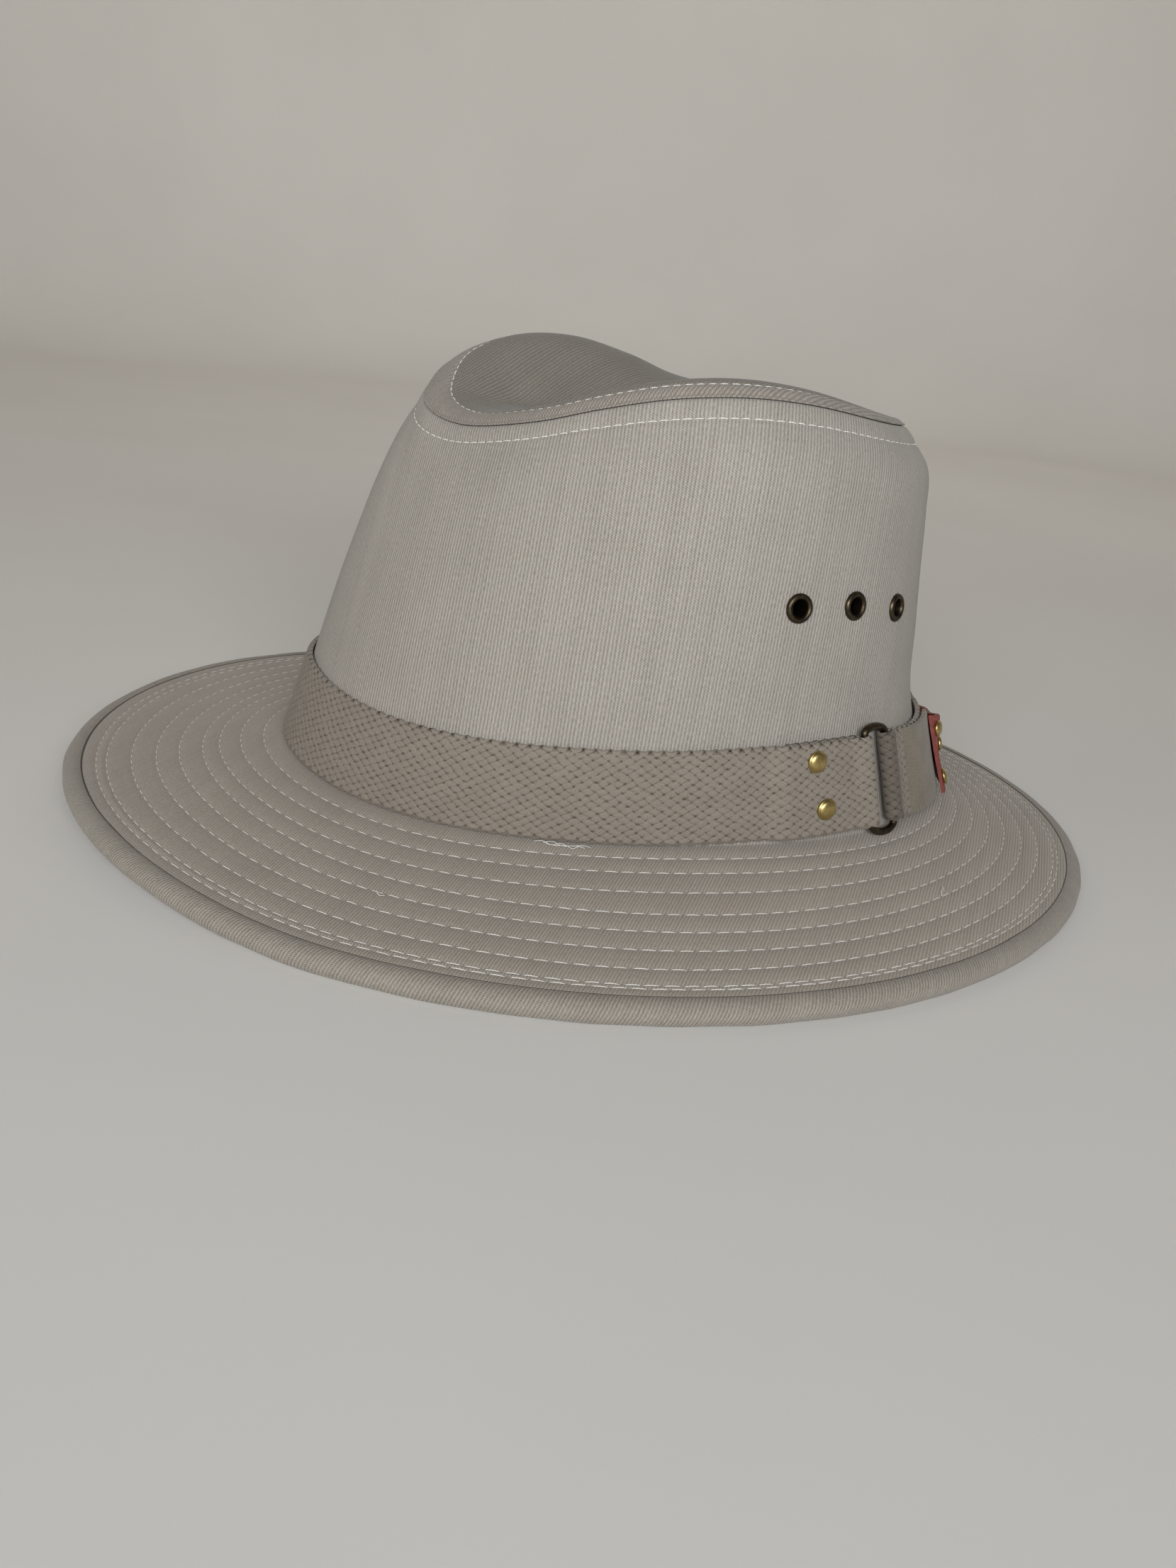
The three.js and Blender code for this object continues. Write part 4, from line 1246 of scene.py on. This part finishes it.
def rivets():
    for name, (along, up) in BAND_RIVETS.items():
        seat = OUTER_OUT + WEB_THICK / 2 + GAP / 2
        place = on_web(RING_WALK - along, up, seat)
        normal = unit(place - on_web(RING_WALK - along, up, seat - 1))
        add_rivet(name, BAND_RIVET, place, normal)
    for side_name, side in SIDES.items():
        for row_name, (along, up) in PATCH_RIVETS.items():
            place = patch_point(side * along, up, PATCH.thick)
            normal = patch_normal(side * along, up)
            add_rivet(f"patch_rivet_{side_name}_{row_name}", PATCH_RIVET, place, normal)


def eyelets():
    flange, hole, barrel = EYELET.flange, EYELET.hole, EYELET.barrel
    middle = (flange + hole) / 2
    half = (flange - hole) / 2
    roll = [
        (middle + half * math.cos(angle), EYELET_SEAT.lift + EYELET.height * math.sin(angle))
        for angle in np.linspace(0, math.pi, EYELET_STEPS.roll)
    ]
    inside = -WALL_THICK - GAP
    end = inside - EYELET.washer
    profile = [
        (barrel, 0), (flange, -EYELET_SEAT.sink), *roll,
        (hole, end), (flange - EYELET_SEAT.chamfer, end), (flange, (inside + end) / 2),
        (flange, inside), (barrel, inside),
    ]
    for name, place, normal in eyelet_places():
        grid = turned_grid(profile, EYELET_STEPS.round, place, normal)
        patch = grid_patch(grid, index_uv(0.5, 0.4), True, True)
        new_piece(name + "_metal", [patch], [DARK_BRASS], [name])


# Stage, light and camera, in metres

FLOOR = Sizes(flat=1.7, sweep=0.5, sweep_start=0.1, sweep_steps=14, sides=96)
BACKDROP_HEIGHTS = [1.0, 1.8]
FLOOR_RADII = [0.01, 0.6, 1.2]

# The photograph's angle to the hat: place, turned axes, and focal length and frame height in pixels
CAMERA = Sizes(
    place=(0.42184, -0.02705, 0.16692),
    right=(0.0296, 0.99439, 0.10156),
    back=(0.92957, -0.06473, 0.36291),
    focal=1766.16,
    frame_height=2212,
    sensor=36,
    nearest=0.01,
)


def studio_floor():
    """A round pale floor that rises into a backdrop"""
    flat, sweep, sides = FLOOR.flat, FLOOR.sweep, FLOOR.sides
    profile = [(radius, 0) for radius in [*FLOOR_RADII, flat]]
    for angle in np.linspace(FLOOR.sweep_start, math.pi / 2, FLOOR.sweep_steps):
        profile.append((flat + sweep * math.sin(angle), sweep - sweep * math.cos(angle)))
    profile += [(flat + sweep, height) for height in BACKDROP_HEIGHTS]
    radius, height = np.array(profile).T
    round_way = spokes(sides, np.array([1, 0, 0]), np.array([0, 1, 0]))
    grid = times(round_way[:, None], radius) + times(UP, height)
    patch = grid_patch(grid / MILLIMETRE, index_uv(1.0, 1.0), True)
    patch = add_caps(patch, [range(0, sides * len(profile), len(profile))])
    look = floor_look("pale_floor", (224, 221, 217), (229, 226, 222))
    floor = new_solid("studio_floor", [patch], [look], sharp_angle=60)


def set_place(made, place, right, back):
    """Sets an object at a place with its axes to the right, up and back"""
    axes = np.stack([right, np.cross(back, right), back, place], 1)
    made.matrix_world = Matrix([*axes.tolist(), (0, 0, 0, 1)])


def area_light(name, place, target, size, power, colour, spread=180):
    data = bpy.data.lights.new(name, "AREA")
    data.shape = "RECTANGLE"
    data.size, data.size_y = size
    data.energy = power
    data.color = colour
    data.spread = math.radians(spread)
    light = new_object(name, data)
    light.visible_camera = False
    back = unit(np.subtract(place, target))
    set_place(light, place, unit(np.cross(UP, back)), back)


def camera():
    data = bpy.data.cameras.new("camera")
    data.sensor_width = CAMERA.sensor
    data.lens = CAMERA.focal * CAMERA.sensor / CAMERA.frame_height
    data.clip_start = CAMERA.nearest
    view = new_object("camera", data)
    set_place(view, CAMERA.place, CAMERA.right, CAMERA.back)
    bpy.context.scene.camera = view


def world_light(colour, strength):
    world = bpy.data.worlds.new("soft_room")
    world.use_nodes = True
    ground = world.node_tree.nodes["Background"]
    ground.inputs["Color"].default_value = (*colour, 1)
    ground.inputs["Strength"].default_value = strength
    bpy.context.scene.world = world


crown_rows = []
for rail, normals in (crown_wall(), crown_tip()):
    crown_rows += stitches(rail, normals, CROWN_STITCH, np.ones(len(rail)))
new_piece("crown_stitching", crown_rows, [THREAD])
brim()
brim_roll()
hat_band()
band_ring()
leather_patch()
rivets()
eyelets()

studio_floor()
area_light("window", (1.3, -0.06, 0.6), (0, 0, 0.42), (1.4, 0.45), 9.8, (0.93, 0.97, 1.0), 110)
area_light("bounce", (0.4, -1.6, 0.9), (0, 0, 0.1), (1.2, 1.2), 2.6, (1.0, 0.9, 0.76))
area_light("fill", (-1.1, 0.9, 1.1), (0, 0, 0.08), (1.2, 1.2), 1.4, (1.0, 0.95, 0.88))
area_light("backdrop_wash", (-0.8, 0, 1.7), (-2.2, 0, 0.6), (1.5, 1.0), 8, (1.0, 0.95, 0.86))
world_light((1.0, 0.92, 0.8), 0.06)
camera()
bpy.context.scene.view_settings.view_transform = "Standard"
